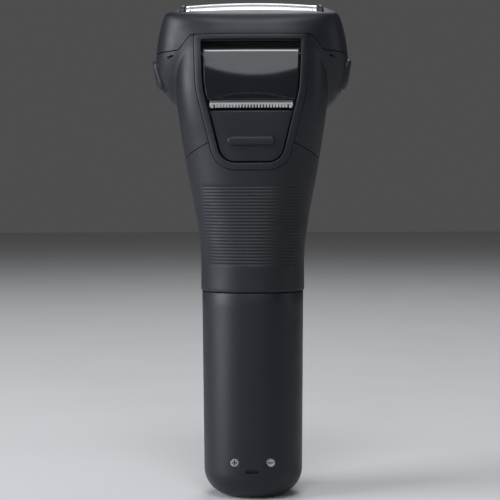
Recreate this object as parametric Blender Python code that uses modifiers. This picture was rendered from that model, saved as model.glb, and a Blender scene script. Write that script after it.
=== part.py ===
"""Cordless foil shaver: a power handle and a plug-on shaving head with a flip-out trimmer.

Metres, +Z up. The origin is the middle of the flat base. The trimmer side faces -Y, the power
button faces +Y and X runs across the shaver. Heights in the head count up from the joint between
handle and head, so the head follows a longer or shorter handle.
"""

import math

import bmesh
import bpy
from mathutils import Matrix, Vector

MM = 0.001

# Clearances
GAP = 0.3 * MM  # between neighbouring solids
SLIDE_GAP = 0.35 * MM  # around a piece that slides

# Handle
HANDLE_LENGTH = 71.0 * MM
HANDLE_HALF_WIDTH = 17.55 * MM  # at its top
HANDLE_HALF_DEPTH = 17.3 * MM
HANDLE_TAPER = 0.55 * MM  # how much slimmer each side is at the base
HANDLE_CORNER = 9.3 * MM
HANDLE_WALL = 2.0 * MM
HANDLE_ROUNDNESS = 2.15
CONTACT_HEIGHT = 13.15 * MM
CONTACT_SPREAD = 6.1 * MM
CONTACT_RADIUS = 1.75 * MM
CONTACT_SINK = 0.65 * MM  # below the handle's surface
KEY_SLOT = (4.6 * MM, 1.4 * MM, 1.2 * MM)  # width, height, depth
KEY_SLOT_HEIGHT = 10.3 * MM
BUTTON_HEIGHT = 40.0 * MM
BUTTON_RADIUS = 5.0 * MM
BUTTON_TRAVEL = 0.6 * MM
LAMP_DROP = 12.0 * MM  # below the power button
LAMP_RADIUS = 0.9 * MM
MOTOR_RADIUS = 10.0 * MM
MOTOR_LENGTH = 24.0 * MM
CELL_RADIUS = 7.0 * MM
CELL_OFFSET = 3.5 * MM  # behind the axis
CHASSIS_BASE = 4.2 * MM
CHASSIS_THICK = 1.4 * MM
CHASSIS_PLATE = CELL_RADIUS - CELL_OFFSET + 0.5 * MM  # back face of the plate before the cell
BOARD_PLACE = CHASSIS_PLATE + CHASSIS_THICK + GAP  # back face of the circuit board
BOARD_THICK = 1.2 * MM
SWITCH_TOP = BOARD_PLACE + BOARD_THICK + 3.0 * MM  # front of the switch's plunger
SPIGOT_RADIUS = 13.6 * MM
SPIGOT_RISE = 9.0 * MM  # above the joint
SPIGOT_WALL = 2.6 * MM

# Grip and neck: height above the joint, half width, back depth, front depth, squareness
NECK_STATIONS = (
    (0.3, 17.9, 17.6, 17.6, 2.2),
    (12, 17.95, 17.75, 17.6, 2.2),
    (21, 18.85, 18.1, 17.8, 2.25),
    (31, 20.5, 18.8, 18.0, 2.35),
    (41, 22.4, 19.4, 18.4, 2.5),
    (51, 24.0, 20.1, 18.9, 2.8),
    (60, 25.3, 20.7, 19.5, 3.4),
    (69, 26.1, 21.0, 20.0, 3.9),
    (77, 26.0, 20.8, 20.0, 4.0),
    (84, 25.0, 20.0, 19.4, 4.0),
    (88, 23.6, 18.0, 17.6, 4.0),
    (92, 20.5, 14.0, 14.0, 4.0),
)

# Drum of the head: height above the joint, side inset, back and front inset, squareness
DRUM_HALF_WIDTH = 33.1 * MM
DRUM_HALF_DEPTH = 19.1 * MM
DRUM_STATIONS = (
    (62.0, 9.1, 10.6, 2.6),
    (64.0, 5.9, 9.5, 2.6),
    (67.3, 3.2, 7.6, 2.6),
    (70.0, 1.5, 5.9, 2.6),
    (74.0, 0.5, 3.5, 2.7),
    (79.0, 0.0, 1.3, 2.8),
    (83.0, 0.3, 0.3, 2.9),
    (87.0, 0.9, 0.0, 3.0),
    (91.0, 1.9, 0.6, 3.0),
    (93.3, 2.7, 2.2, 3.0),
    (94.4, 3.2, 3.8, 3.0),
    (95.2, 3.8, 5.6, 3.0),
    (96.2, 4.9, 7.6, 3.0),
    (97.0, 6.5, 9.6, 3.0),
    (97.3, 7.7, 10.6, 3.0),
)
NECK_STEP = 8.0 * MM  # between rings of the neck
DRUM_STEP = 3.5 * MM  # and of the drum
HEAD_WALL = 2.0 * MM
CREASE = 1.2 * MM  # how softly neck and drum meet under the foil frame
CREASE_TOP = 4.0 * MM  # and in the foil frame
CREASE_HEIGHTS = (80.0 * MM, 88.0 * MM)
SEAM_CROWN = 54.1 * MM  # grip and neck meet here at the middle
SEAM_FALL = 0.0158 / MM  # and fall away with the square of x
FRAME_EDGE = 86.85 * MM  # bottom edge of the foil frame over the window
FRAME_EDGE_HALF = 20.4 * MM
CHEEK_EDGE = 81.9 * MM  # and beside the window
CHEEK_EDGE_HALF = 24.6 * MM
SIDE_EDGE = 79.8 * MM  # and at the head's sides
NOTCH_SIZE = (2.2 * MM, 0.7 * MM)
NOTCH_PLACE = (27.4 * MM, 79.9 * MM)

# Trimmer window: half width, height above the joint, corner radius, from top to bottom
WINDOW_CORNERS = ((16.85, 84.66, 0.8), (16.34, 69.3, 30.0), (10.1, 44.0, 6.0))
BEZEL_WIDTH = 2.4 * MM
BEZEL_TOP_WIDTH = 1.75 * MM
BEZEL_PROUD = 0.3 * MM
BEZEL_THICK = 1.3 * MM
TRAY_WALL = 1.6 * MM
TRAY_FLOOR = 1.2 * MM
TRAY_DEPTH = 13.6 * MM  # the pocket's floor, from the shaver's axis
FLAP_BOTTOM = 65.0 * MM
FLAP_GAP = 0.65 * MM
FLAP_RECESS = 0.3 * MM
FLAP_THICK = 2.0 * MM
HINGE_HEIGHT = 80.3 * MM
HINGE_DEPTH = 17.1 * MM
HINGE_PIN_RADIUS = 0.8 * MM
KNUCKLE_RADIUS = 3.0 * MM
COMB_HALF = 13.85 * MM
COMB_TIP = 62.2 * MM
COMB_TOP = 64.7 * MM
COMB_THICK = 0.5 * MM
COMB_FACE = 20.3 * MM
TOOTH_COUNT = 26
TOOTH_LENGTH = 1.2 * MM
CUTTER_THROW = 0.7 * MM
SLIDER_TOP = 61.4 * MM
SLIDER_GAP = 0.4 * MM
SLIDER_RECESS = 0.5 * MM
SLIDER_THICK = 1.3 * MM
RIDGE = (15.9 * MM, 3.0 * MM, 1.0 * MM)  # width, height, rise
RIDGE_HEIGHT = 51.3 * MM

# Foils and blades
FOIL_SPACING = 8.4 * MM
FOIL_HALF_LENGTH = DRUM_HALF_WIDTH - 11.1 * MM
FOIL_RADIUS = 3.6 * MM
FOIL_THICK = 0.25 * MM
FOIL_CROWN = 98.3 * MM
FOIL_BOW = 0.9 * MM  # how much lower its ends are
FOIL_FOOT = 91.0 * MM
CASSETTE_BASE = 88.5 * MM
CASSETTE_TOP = 94.3 * MM
CASSETTE_END = 2.1 * MM  # beyond the foil at each end
NUB_TOP = 97.6 * MM  # top of the round nubs at the foils' ends
NUB_WIDTH = 1.5 * MM
NUB_RADIUS = 3.4 * MM
BLADE_FOOT = 90.5 * MM
BLADE_THROW = 1.2 * MM

# Drive
SHAFT_RADIUS = 1.5 * MM
MOTOR_SHAFT_RADIUS = 1.0 * MM
DOG_HALF = 2.0 * MM
DOG_TOP = 17.0 * MM
COUPLING_BASE = 13.0 * MM
COUPLING_TOP = 22.0 * MM
COUPLING_RADIUS = 4.8 * MM
TUBE_TOP = 67.0 * MM
TUBE_RADIUS = 4.2 * MM
WHEEL_BASE = 67.6 * MM
WHEEL_TOP = 70.4 * MM
WHEEL_RADIUS = 4.5 * MM
CRANK_PIN_RADIUS = 1.0 * MM
CRANK_PIN_TOP = 74.5 * MM
DECK_BASE = 75.6 * MM
DECK_THICK = 1.6 * MM
DECK_HALF_WIDTH = 23.7 * MM
DECK_BACK = 12.0 * MM
DECK_FRONT = 15.0 * MM
DECK_HOLE = 8.2 * MM
SCREW_SPREAD = 21.8 * MM
SCREW_OFFSET = 7.0 * MM
SCREW_RADIUS = 1.1 * MM
BRIDGE_BASE = 83.5 * MM
BRIDGE_TOP = 86.5 * MM
SPRING_TOP = 90.1 * MM
SPRING_RADIUS = 2.0 * MM
SPRING_WIRE = 0.25 * MM
SPRING_TURNS = 3

# Release buttons
RELEASE_HALF_DEPTH = 6.5 * MM
RELEASE_BASE = 68.8 * MM
RELEASE_TOP = 79.5 * MM
RELEASE_PROUD = 1.2 * MM
RELEASE_CORNER = 3.0 * MM
RELEASE_INNER = DRUM_HALF_WIDTH - 5.0 * MM
RELEASE_LIP = 0.8 * MM
RELEASE_TRAVEL = 1.5 * MM
LATCH_THICK = 1.2 * MM

ROUND_POINTS = 44  # round an outer form
HOLLOW_POINTS = 30  # round the hollow inside it
REACH = 60 * MM  # longer than any wall, for cutters
ARC_STEP = math.radians(15)

FINISHES = {
    "charcoal_plastic": ((0.020, 0.022, 0.028, 1), 0.45, 0.0),
    "grip_rubber": ((0.018, 0.020, 0.024, 1), 0.60, 0.0),
    "gloss_plastic": ((0.012, 0.013, 0.016, 1), 0.10, 0.0),
    "black_plastic": ((0.010, 0.010, 0.011, 1), 0.50, 0.0),
    "inner_plastic": ((0.60, 0.60, 0.58, 1), 0.50, 0.0),
    "blade_steel": ((0.72, 0.73, 0.75, 1), 0.22, 1.0),
    "contact_metal": ((0.55, 0.54, 0.52, 1), 0.30, 1.0),
    "spring_steel": ((0.60, 0.60, 0.60, 1), 0.30, 1.0),
    "brass": ((0.70, 0.50, 0.22, 1), 0.30, 1.0),
    "cell_wrap": ((0.05, 0.16, 0.30, 1), 0.40, 0.0),
    "board_green": ((0.02, 0.16, 0.07, 1), 0.50, 0.0),
    "seal_rubber": ((0.02, 0.02, 0.02, 1), 0.70, 0.0),
    "lamp_plastic": ((0.75, 0.85, 0.80, 1), 0.20, 0.0),
}


def clear_scene():
    """Empty the scene and the collections that a new file starts with."""
    for item in list(bpy.data.objects):
        bpy.data.objects.remove(item, do_unlink=True)
    for group in list(bpy.data.collections):
        bpy.data.collections.remove(group)


def new_collection(name):
    """A collection linked to the scene."""
    group = bpy.data.collections.new(name)
    bpy.context.scene.collection.children.link(group)
    return group


def finish_of(name):
    """The material of that name, made the first time it is asked for."""
    found = bpy.data.materials.get(name)
    if found:
        return found
    colour, roughness, metallic = FINISHES[name]
    made = bpy.data.materials.new(name)
    made.use_nodes = True
    shader = made.node_tree.nodes["Principled BSDF"]
    shader.inputs["Base Color"].default_value = colour
    shader.inputs["Roughness"].default_value = roughness
    shader.inputs["Metallic"].default_value = metallic
    return made


# Placing ------------------------------------------------------------------------------------


def up(height):
    """A height in the head as a height above the base."""
    return HANDLE_LENGTH + height


def part(name, item, finish, body):
    """Make a shape a finished part: its name, material, collection and body."""
    item.name = name
    item.data.name = name
    item.data.materials.clear()
    item.data.materials.append(finish_of(finish))
    HELPERS.objects.unlink(item)
    PARTS.objects.link(item)
    item.hide_render = False
    item.display_type = "TEXTURED"
    item.data.shade_smooth()
    item.data.set_sharp_from_angle(angle=math.radians(35))
    item.parent = body
    item.matrix_parent_inverse = Matrix.Translation(-body.location)
    return item


def body_at(name, place=(0, 0, 0)):
    """An empty on a body's joint axis, which carries the body's parts."""
    empty = bpy.data.objects.new(name + "_body", None)
    empty.location = place
    PARTS.objects.link(empty)
    return empty


# Plain shapes: every one starts as a helper, and part() makes it a part ---------------------


def helper(name, mesh):
    """An object that is only cut with or joined to others, until part() takes it."""
    item = bpy.data.objects.new(name, mesh)
    item.hide_render = True
    item.display_type = "WIRE"
    HELPERS.objects.link(item)
    return item


def from_bmesh(name, shape):
    """A helper from a bmesh, with its normals facing out."""
    bmesh.ops.recalc_face_normals(shape, faces=shape.faces)
    mesh = bpy.data.meshes.new(name)
    shape.to_mesh(mesh)
    shape.free()
    return helper(name, mesh)


def box(low, high, bevel=0.0):
    """A box between two corners, with its edges rounded by a bevel."""
    low, high = Vector(low), Vector(high)
    shape = bmesh.new()
    bmesh.ops.create_cube(shape, size=1)
    size = high - low
    bmesh.ops.scale(shape, vec=size, verts=shape.verts)
    bmesh.ops.translate(shape, vec=(low + high) / 2, verts=shape.verts)
    item = from_bmesh("box", shape)
    if bevel:
        modifier = item.modifiers.new("rounded edges", "BEVEL")
        modifier.width = bevel
        modifier.segments = 2
    return item


def rod(start, end, radius, points=20):
    """A cylinder between two points."""
    start, end = Vector(start), Vector(end)
    shape = bmesh.new()
    bmesh.ops.create_cone(
        shape, cap_ends=True, segments=points, radius1=radius, radius2=radius,
        depth=(end - start).length,
    )
    turn = (end - start).to_track_quat("Z", "Y").to_matrix().to_4x4()
    bmesh.ops.transform(shape, matrix=Matrix.Translation((start + end) / 2) @ turn, verts=shape.verts)
    return from_bmesh("rod", shape)


def turned(profile, axis="Z", place=(0, 0, 0), steps=24):
    """A turned solid: profile is (radius, height) points down its outer side and back up."""
    shape = bmesh.new()
    points = [shape.verts.new((radius, 0, height)) for radius, height in profile]
    closed = profile[0][0] > 0
    for first, second in zip(points, points[1:] + (points[:1] if closed else [])):
        shape.edges.new((first, second))
    mesh = bpy.data.meshes.new("turned")
    shape.to_mesh(mesh)
    shape.free()
    item = helper("turned", mesh)
    if axis == "Y":
        item.rotation_euler = (-math.pi / 2, 0, 0)
    item.location = place
    screw = item.modifiers.new("turn", "SCREW")
    screw.steps = screw.render_steps = steps
    screw.use_merge_vertices = True
    screw.merge_threshold = 0.00001
    return item


def tube(outer, inner, low, high, steps=20):
    """A straight tube along Z."""
    return turned([(outer, high), (outer, low), (inner, low), (inner, high)], steps=steps)


def evaluated_mesh(item):
    """The item's mesh with its modifiers and curve settings taken in."""
    bpy.context.view_layer.update()
    graph = bpy.context.evaluated_depsgraph_get()
    return bpy.data.meshes.new_from_object(item.evaluated_get(graph))


def from_curve(curve, place):
    """A closed mesh helper from a curve object, with its caps welded."""
    guide = bpy.data.objects.new("guide", curve)
    guide.matrix_world = place
    HELPERS.objects.link(guide)
    mesh = evaluated_mesh(guide)
    shape = bmesh.new()
    shape.from_mesh(mesh)
    bmesh.ops.remove_doubles(shape, verts=shape.verts, dist=0.000001)
    bmesh.ops.transform(shape, matrix=guide.matrix_world, verts=shape.verts)
    bpy.data.objects.remove(guide)
    return from_bmesh("from_curve", shape)


def slab(outline, start, end, axis="Y"):
    """A flat outline made a solid from start to end along an axis.

    Along Y the outline is (x, z) points, and along X it is (y, z) points.
    """
    curve = bpy.data.curves.new("outline", "CURVE")
    curve.dimensions = "2D"
    curve.fill_mode = "BOTH"
    curve.extrude = abs(end - start) / 2
    line = curve.splines.new("POLY")
    line.points.add(len(outline) - 1)
    for point, (across, height) in zip(line.points, outline):
        point.co = (across, height, 0, 1)
    line.use_cyclic_u = True
    middle = (start + end) / 2
    upright = Matrix.Rotation(math.pi / 2, 4, "X")
    if axis == "Y":
        return from_curve(curve, Matrix.Translation((0, middle, 0)) @ upright)
    quarter = Matrix.Rotation(math.pi / 2, 4, "Z")
    return from_curve(curve, Matrix.Translation((middle, 0, 0)) @ quarter @ upright)


def coil(place, height, radius, wire, turns, points=8):
    """A coil spring standing on a point."""
    curve = bpy.data.curves.new("coil", "CURVE")
    curve.dimensions = "3D"
    curve.bevel_depth = wire
    curve.bevel_resolution = 1
    curve.use_fill_caps = True
    line = curve.splines.new("POLY")
    line.points.add(turns * points)
    for index, point in enumerate(line.points):
        turn = 2 * math.pi * index / points
        rise = wire + (height - 2 * wire) * index / (turns * points)
        point.co = (radius * math.cos(turn), radius * math.sin(turn), rise, 1)
    return from_curve(curve, Matrix.Translation(place))


def loft(rings):
    """A closed solid through rings of points, all with the same count."""
    shape = bmesh.new()
    rows = [[shape.verts.new(point) for point in ring] for ring in rings]
    count = len(rows[0])
    for lower, upper in zip(rows, rows[1:]):
        for index in range(count):
            after = (index + 1) % count
            shape.faces.new((lower[index], lower[after], upper[after], upper[index]))
    shape.faces.new(rows[0])
    shape.faces.new(rows[-1])
    bmesh.ops.triangulate(shape, faces=shape.faces)
    return from_bmesh("loft", shape)


# Booleans -----------------------------------------------------------------------------------


def combine(item, other, operation):
    """Add a Boolean modifier, and return the item."""
    modifier = item.modifiers.new(operation.lower(), "BOOLEAN")
    modifier.operation = operation
    modifier.solver = "EXACT"
    modifier.object = other
    return item


def cut(item, *others):
    """Take the others away from the item."""
    for other in others:
        combine(item, other, "DIFFERENCE")
    return item


def join(item, *others):
    """Make the others one body with the item."""
    for other in others:
        combine(item, other, "UNION")
    return item


def keep(item, other):
    """Keep only what of the item lies inside the other."""
    return combine(item, other, "INTERSECT")


def settled(item):
    """A helper with the item's modifiers taken in, so that it can be used again and again."""
    made = helper(item.name, evaluated_mesh(item))
    made.matrix_world = item.matrix_world.copy()
    return made


# Outlines -----------------------------------------------------------------------------------


def rounded(corners):
    """Points round a closed outline of (across, height, radius) corners."""
    points = []
    for index, (across, height, radius) in enumerate(corners):
        corner = Vector((across, height))
        before = Vector(corners[index - 1][:2]) - corner
        after = Vector(corners[(index + 1) % len(corners)][:2]) - corner
        if radius <= 0:
            points.append(tuple(corner))
            continue
        before.normalize()
        after.normalize()
        half = before.angle(after) / 2
        middle = corner + (before + after).normalized() * radius / math.sin(half)
        start = corner + before * radius / math.tan(half) - middle
        sweep = (math.pi - 2 * half) * (1 if before.cross(after) < 0 else -1)
        steps = max(2, math.ceil(abs(sweep) / ARC_STEP))
        for step in range(steps + 1):
            turn = Matrix.Rotation(sweep * step / steps, 2)
            points.append(tuple(middle + turn @ start))
    return points


def grown(corners, by):
    """The corners of an outline with every side moved out by a distance."""
    made = []
    for index, (across, height, radius) in enumerate(corners):
        corner = Vector((across, height))
        before = (corner - Vector(corners[index - 1][:2])).normalized()
        after = (Vector(corners[(index + 1) % len(corners)][:2]) - corner).normalized()
        out_before = Vector((before.y, -before.x))
        out_after = Vector((after.y, -after.x))
        shift = (out_before + out_after) / (1 + out_before.dot(out_after))
        moved = corner + shift * by
        turning_out = before.cross(after) > 0
        made.append((moved.x, moved.y, max(0, radius + (by if turning_out else -by))))
    return made


def window_corners(by=0.0, top=None):
    """The trimmer window's outline, grown by a distance, or with its own distance at the top."""
    right = [(x * MM, up(z * MM), r * MM) for x, z, r in WINDOW_CORNERS]
    left = [(-x, z, r) for x, z, r in right]
    made = grown(left + right[::-1], by)
    if top is None:
        return made
    edge = right[0][1] + top
    highest = max(z for _, z, _ in made)
    return [(x, edge if z == highest else z, r) for x, z, r in made]


def window_half_width(height):
    """Half the window's width at a height in the head, its bottom corners left out."""
    (x0, z0, _), (x1, z1, _), (x2, z2, _) = WINDOW_CORNERS
    z = height / MM
    if z >= z1:
        return (x1 + (x0 - x1) * (z - z1) / (z0 - z1)) * MM
    return (x2 + (x1 - x2) * (z - z2) / (z1 - z2)) * MM


# Lofted bodies ------------------------------------------------------------------------------


def sizes_at(rows, height):
    """The sizes in rows of (height, sizes...) eased to a height, or None outside them."""
    for index, (low, high) in enumerate(zip(rows, rows[1:])):
        if not low[0] <= height <= high[0]:
            continue
        before, after = rows[max(0, index - 1)], rows[min(len(rows) - 1, index + 2)]
        rise = high[0] - low[0]
        share = (height - low[0]) / rise
        sizes = []
        for a, b, c, d in zip(before[1:], low[1:], high[1:], after[1:]):
            leave = (c - a) / (high[0] - before[0]) * rise
            arrive = (d - b) / (after[0] - low[0]) * rise
            sizes.append(eased(b, c, leave, arrive, share))
        return sizes
    return None


def eased(start, end, leave, arrive, share):
    """A cubic from start to end with the given slopes."""
    square, cube = share * share, share * share * share
    return (
        start * (2 * cube - 3 * square + 1)
        + leave * (cube - 2 * square + share)
        + end * (3 * square - 2 * cube)
        + arrive * (cube - square)
    )


def reach_of(turn, half_width, back, front, squareness):
    """How far a squarish oval reaches from its middle in a direction."""
    across, along = math.cos(turn), math.sin(turn)
    deep = front if along > 0 else back
    share = abs(across / half_width) ** squareness + abs(along / deep) ** squareness
    return share ** (-1 / squareness)


def directions(count):
    """Directions round a ring, none of them along an axis."""
    return [2 * math.pi * (index + 0.5) / count for index in range(count)]


def handle_body(inset=0.0, overshoot=0.0):
    """The handle's outside, or with an inset its hollow, open above by the overshoot."""
    corner = HANDLE_CORNER - inset
    rings = []
    for step in range(7):
        turn = math.pi / 2 * step / 6
        height = inset + corner * (1 - math.cos(turn))
        rings.append(handle_ring(height, inset + corner * (1 - math.sin(turn))))
    for share in (1 / 3, 2 / 3, 1):
        height = HANDLE_CORNER + (HANDLE_LENGTH - HANDLE_CORNER) * share
        rings.append(handle_ring(height, inset))
    if overshoot:
        rings.append(handle_ring(HANDLE_LENGTH + overshoot, inset))
    return loft(rings)


def handle_ring(height, inset):
    """A ring of the handle at a height, inset from its outside."""
    slim = inset + HANDLE_TAPER * (1 - height / HANDLE_LENGTH)
    half_width, half_depth = HANDLE_HALF_WIDTH - slim, HANDLE_HALF_DEPTH - slim
    points = []
    for turn in directions(ROUND_POINTS):
        reach = reach_of(turn, half_width, half_depth, half_depth, HANDLE_ROUNDNESS)
        points.append((reach * math.cos(turn), reach * math.sin(turn), height))
    return points


def neck_sizes(height):
    """The neck's half width, back, front and squareness at a height in the head."""
    return sizes_at([(row[0], *row[1:]) for row in NECK_STATIONS], height / MM)


def drum_sizes(height):
    """The same for the drum."""
    found = sizes_at(DRUM_STATIONS, height / MM)
    if found is None:
        return None
    side, deep, square = found
    depth = DRUM_HALF_DEPTH / MM - deep
    return DRUM_HALF_WIDTH / MM - side, depth, depth, square


def crease_at(height):
    """How softly neck and drum meet at a height in the head."""
    low, high = CREASE_HEIGHTS
    share = min(1, max(0, (height - low) / (high - low)))
    return CREASE + (CREASE_TOP - CREASE) * share


def head_reach(turn, height):
    """How far the head's outside reaches in a direction: neck and drum, softly joined."""
    found = [reach_of(turn, *sizes) * MM for sizes in (neck_sizes(height), drum_sizes(height)) if sizes]
    if len(found) == 1:
        return found[0]
    soft = crease_at(height)
    meeting = max(soft - abs(found[0] - found[1]), 0) / soft
    return max(found) + meeting * meeting * soft / 4


def head_heights():
    """Heights of the head's rings: far apart on the neck, and on the drum closer."""
    neck_base, drum_base = NECK_STATIONS[0][0] * MM, DRUM_STATIONS[0][0] * MM
    neck_count = round((drum_base - neck_base) / NECK_STEP)
    heights = [neck_base + (drum_base - neck_base) * n / neck_count for n in range(neck_count)]
    for low, high in zip(DRUM_STATIONS, DRUM_STATIONS[1:]):
        rise = (high[0] - low[0]) * MM
        count = math.ceil(rise / DRUM_STEP)
        heights += [low[0] * MM + rise * n / count for n in range(count)]
    return heights + [DRUM_STATIONS[-1][0] * MM]


def head_form(grow=0.0, overshoot=0.0, points=ROUND_POINTS):
    """The head's outside grown by a distance, reaching lower by the overshoot."""
    heights = head_heights()
    top, shoulder = heights[-1], CREASE_HEIGHTS[1]
    rings = []
    for height in heights:
        share = min(1, max(0, (height - shoulder) / (top - shoulder)))
        level = up(height) + grow * share
        rings.append(head_ring(height, level, grow, points))
    if overshoot:
        rings.insert(0, head_ring(heights[0], up(heights[0]) - overshoot, grow, points))
    return loft(rings)


def head_ring(height, level, grow, points):
    """The head's outline at a height, grown by a distance and placed at a level."""
    ring = []
    for turn in directions(points):
        reach = head_reach(turn, height) + grow
        ring.append((reach * math.cos(turn), reach * math.sin(turn), level))
    return ring


def back_depth(height):
    """How far behind the axis the head's outside lies at a height in the head."""
    return head_reach(-math.pi / 2, height)


# Dividing the head's housing ----------------------------------------------------------------


def above_frame_edge(shift):
    """Everything over the foil frame's bottom edge, moved up or down."""
    reach = REACH
    side = [
        (reach, SIDE_EDGE, 0),
        (CHEEK_EDGE_HALF, CHEEK_EDGE, 2 * MM),
        (FRAME_EDGE_HALF, FRAME_EDGE, 1.5 * MM),
    ]
    right = [(x, up(z) + shift, r) for x, z, r in side]
    left = [(-x, z, r) for x, z, r in right]
    top = up(FOIL_CROWN) + reach
    outline = rounded([(-reach, top, 0), *left, *right[::-1], (reach, top, 0)])
    return slab(outline, -reach, reach)


def below_grip_seam(shift):
    """Everything under the seam between grip and neck, moved up or down."""
    across = [3 * MM * step for step in range(-12, 13)]
    seam = [(x, up(SEAM_CROWN - SEAM_FALL * x * x) + shift) for x in across]
    low = -REACH
    return slab([(across[0], low), *seam, (across[-1], low)][::-1], -REACH, REACH)


def window_block(by, front, top=None):
    """The trimmer window's outline as a block from behind the shaver to a depth."""
    return slab(rounded(window_corners(by, top)), -REACH, -front)


# Handle parts -------------------------------------------------------------------------------


def make_handle_shell(handle):
    """The handle's moulded shell, with holes for contacts, button and lamp."""
    shell = cut(handle_body(), handle_body(HANDLE_WALL, 5 * MM))
    for side in (-1, 1):
        x = side * CONTACT_SPREAD
        shell = cut(
            shell,
            rod((x, -REACH, CONTACT_HEIGHT), (x, -8 * MM, CONTACT_HEIGHT), CONTACT_RADIUS + GAP / 2),
        )
    surface = HANDLE_HALF_DEPTH - HANDLE_TAPER
    wide, tall, deep = KEY_SLOT
    slot = box(
        (-wide / 2, -REACH, KEY_SLOT_HEIGHT - tall / 2),
        (wide / 2, -surface + deep, KEY_SLOT_HEIGHT + tall / 2),
    )
    hole = rod((0, 8 * MM, BUTTON_HEIGHT), (0, REACH, BUTTON_HEIGHT), BUTTON_RADIUS + GAP, 24)
    lamp_height = BUTTON_HEIGHT - LAMP_DROP
    lamp = rod((0, 8 * MM, lamp_height), (0, REACH, lamp_height), LAMP_RADIUS + GAP / 2)
    part("handle_shell", cut(shell, slot, hole, lamp), "charcoal_plastic", handle)


def make_coupling_collar(handle):
    """The collar in the handle's mouth, whose spigot the head plugs onto."""
    seat = HANDLE_HALF_DEPTH - HANDLE_WALL - GAP
    bore = SPIGOT_RADIUS - SPIGOT_WALL
    groove = SPIGOT_RADIUS - 1.05 * MM
    middle = SPIGOT_RISE - 4 * MM
    profile = [
        (3 * MM, SPIGOT_RISE),
        (SPIGOT_RADIUS - 0.6 * MM, SPIGOT_RISE),
        (SPIGOT_RADIUS, SPIGOT_RISE - 0.6 * MM),
        (SPIGOT_RADIUS, middle + 0.75 * MM),
        (groove, middle + 0.75 * MM),
        (groove, middle - 0.75 * MM),
        (SPIGOT_RADIUS, middle - 0.75 * MM),
        (SPIGOT_RADIUS, -GAP),
        (seat, -GAP),
        (seat, -9 * MM),
        (bore, -9 * MM),
        (bore, SPIGOT_RISE - 1.5 * MM),
        (3 * MM, SPIGOT_RISE - 1.5 * MM),
    ]
    collar = turned([(r, up(z)) for r, z in profile], steps=28)
    part("coupling_collar", collar, "black_plastic", handle)
    ring = 0.45 * MM
    mid_radius = groove + GAP + ring
    circle = [
        (mid_radius + ring * math.cos(turn), up(middle) - ring * math.sin(turn))
        for turn in (2 * math.pi * step / 6 for step in range(6))
    ]
    part("collar_seal", turned(circle), "seal_rubber", handle)


def make_power_pack(handle):
    """Chassis, cell, tabs, board and motor, stacked from the base up."""
    motor_top = up(SPIGOT_RISE - 1.5 * MM) - GAP
    shelf_top = motor_top - MOTOR_LENGTH - GAP
    shelf_base = shelf_top - 1.5 * MM
    foot_top = CHASSIS_BASE + CHASSIS_THICK
    plate = box(
        (-10.5 * MM, CHASSIS_PLATE, CHASSIS_BASE),
        (10.5 * MM, CHASSIS_PLATE + CHASSIS_THICK, shelf_base + 0.5 * MM),
    )
    shelf = rod((0, 0, shelf_base), (0, 0, shelf_top), 13.5 * MM, 24)
    foot = box((-6 * MM, -9.5 * MM, CHASSIS_BASE), (6 * MM, CHASSIS_PLATE + 0.7 * MM, foot_top))
    part("inner_chassis", join(plate, shelf, foot), "inner_plastic", handle)
    tab = 0.3 * MM
    low, high = foot_top + GAP, shelf_base - GAP
    for name, base in (("battery_tab_bottom", low), ("battery_tab_top", high - tab)):
        strip = box(
            (-2 * MM, -CELL_OFFSET - 5 * MM, base), (2 * MM, -CELL_OFFSET + 5 * MM, base + tab)
        )
        part(name, strip, "contact_metal", handle)
    ends = [(0, -CELL_OFFSET, z) for z in (low + tab + GAP, high - tab - GAP)]
    cell = rod(*ends, CELL_RADIUS, 24)
    part("battery_cell", cell, "cell_wrap", handle)
    motor = rod((0, 0, shelf_top + GAP), (0, 0, motor_top), MOTOR_RADIUS, 24)
    bore = rod((0, 0, motor_top - 12 * MM), (0, 0, motor_top + REACH), MOTOR_SHAFT_RADIUS + GAP)
    part("drive_motor", cut(motor, bore), "contact_metal", handle)
    make_board(handle, shelf_base - 2 * MM)
    return motor_top


def make_board(handle, board_top):
    """The circuit board on the chassis, with its switch, chip, capacitor and light guide."""
    face = BOARD_PLACE + BOARD_THICK
    board = box((-9.5 * MM, BOARD_PLACE, 6 * MM), (9.5 * MM, face, board_top))
    part("circuit_board", board, "board_green", handle)
    part_y = face + GAP
    z = BUTTON_HEIGHT
    body = box((-3 * MM, part_y, z - 3 * MM), (3 * MM, part_y + 1.8 * MM, z + 3 * MM), 0.3 * MM)
    plunger = rod((0, part_y + 1 * MM, z), (0, SWITCH_TOP, z), 1.6 * MM)
    part("power_switch", join(body, plunger), "black_plastic", handle)
    chip = box((-3.5 * MM, part_y, 15 * MM), (3.5 * MM, part_y + 1.3 * MM, 22 * MM))
    part("control_chip", chip, "black_plastic", handle)
    capacitor = rod((6.5 * MM, part_y, 12 * MM), (6.5 * MM, part_y + 4 * MM, 12 * MM), 2 * MM, 20)
    part("capacitor", capacitor, "contact_metal", handle)
    lamp_z = z - LAMP_DROP
    guide = rod((0, part_y, lamp_z), (0, handle_front(lamp_z), lamp_z), LAMP_RADIUS, 16)
    part("indicator_lamp", guide, "lamp_plastic", handle)


def handle_front(height):
    """The handle's half depth at a height above its rounded base."""
    return HANDLE_HALF_DEPTH - HANDLE_TAPER * (1 - height / HANDLE_LENGTH)


def make_contacts(handle):
    """The two charging contacts in the back of the handle."""
    face = handle_front(CONTACT_HEIGHT)
    for name, side in (("charge_contact_plus", -1), ("charge_contact_minus", 1)):
        x = side * CONTACT_SPREAD
        depth = math.sqrt(face * face - CONTACT_SPREAD**2) - CONTACT_SINK
        disc = rod(
            (x, -depth, CONTACT_HEIGHT),
            (x, -depth + 1.6 * MM, CONTACT_HEIGHT),
            CONTACT_RADIUS - GAP / 2,
        )
        pin = rod((x, -depth + 1 * MM, CONTACT_HEIGHT), (x, -11.5 * MM, CONTACT_HEIGHT), 0.7 * MM, 12)
        part(name, join(disc, pin), "contact_metal", handle)


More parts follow.
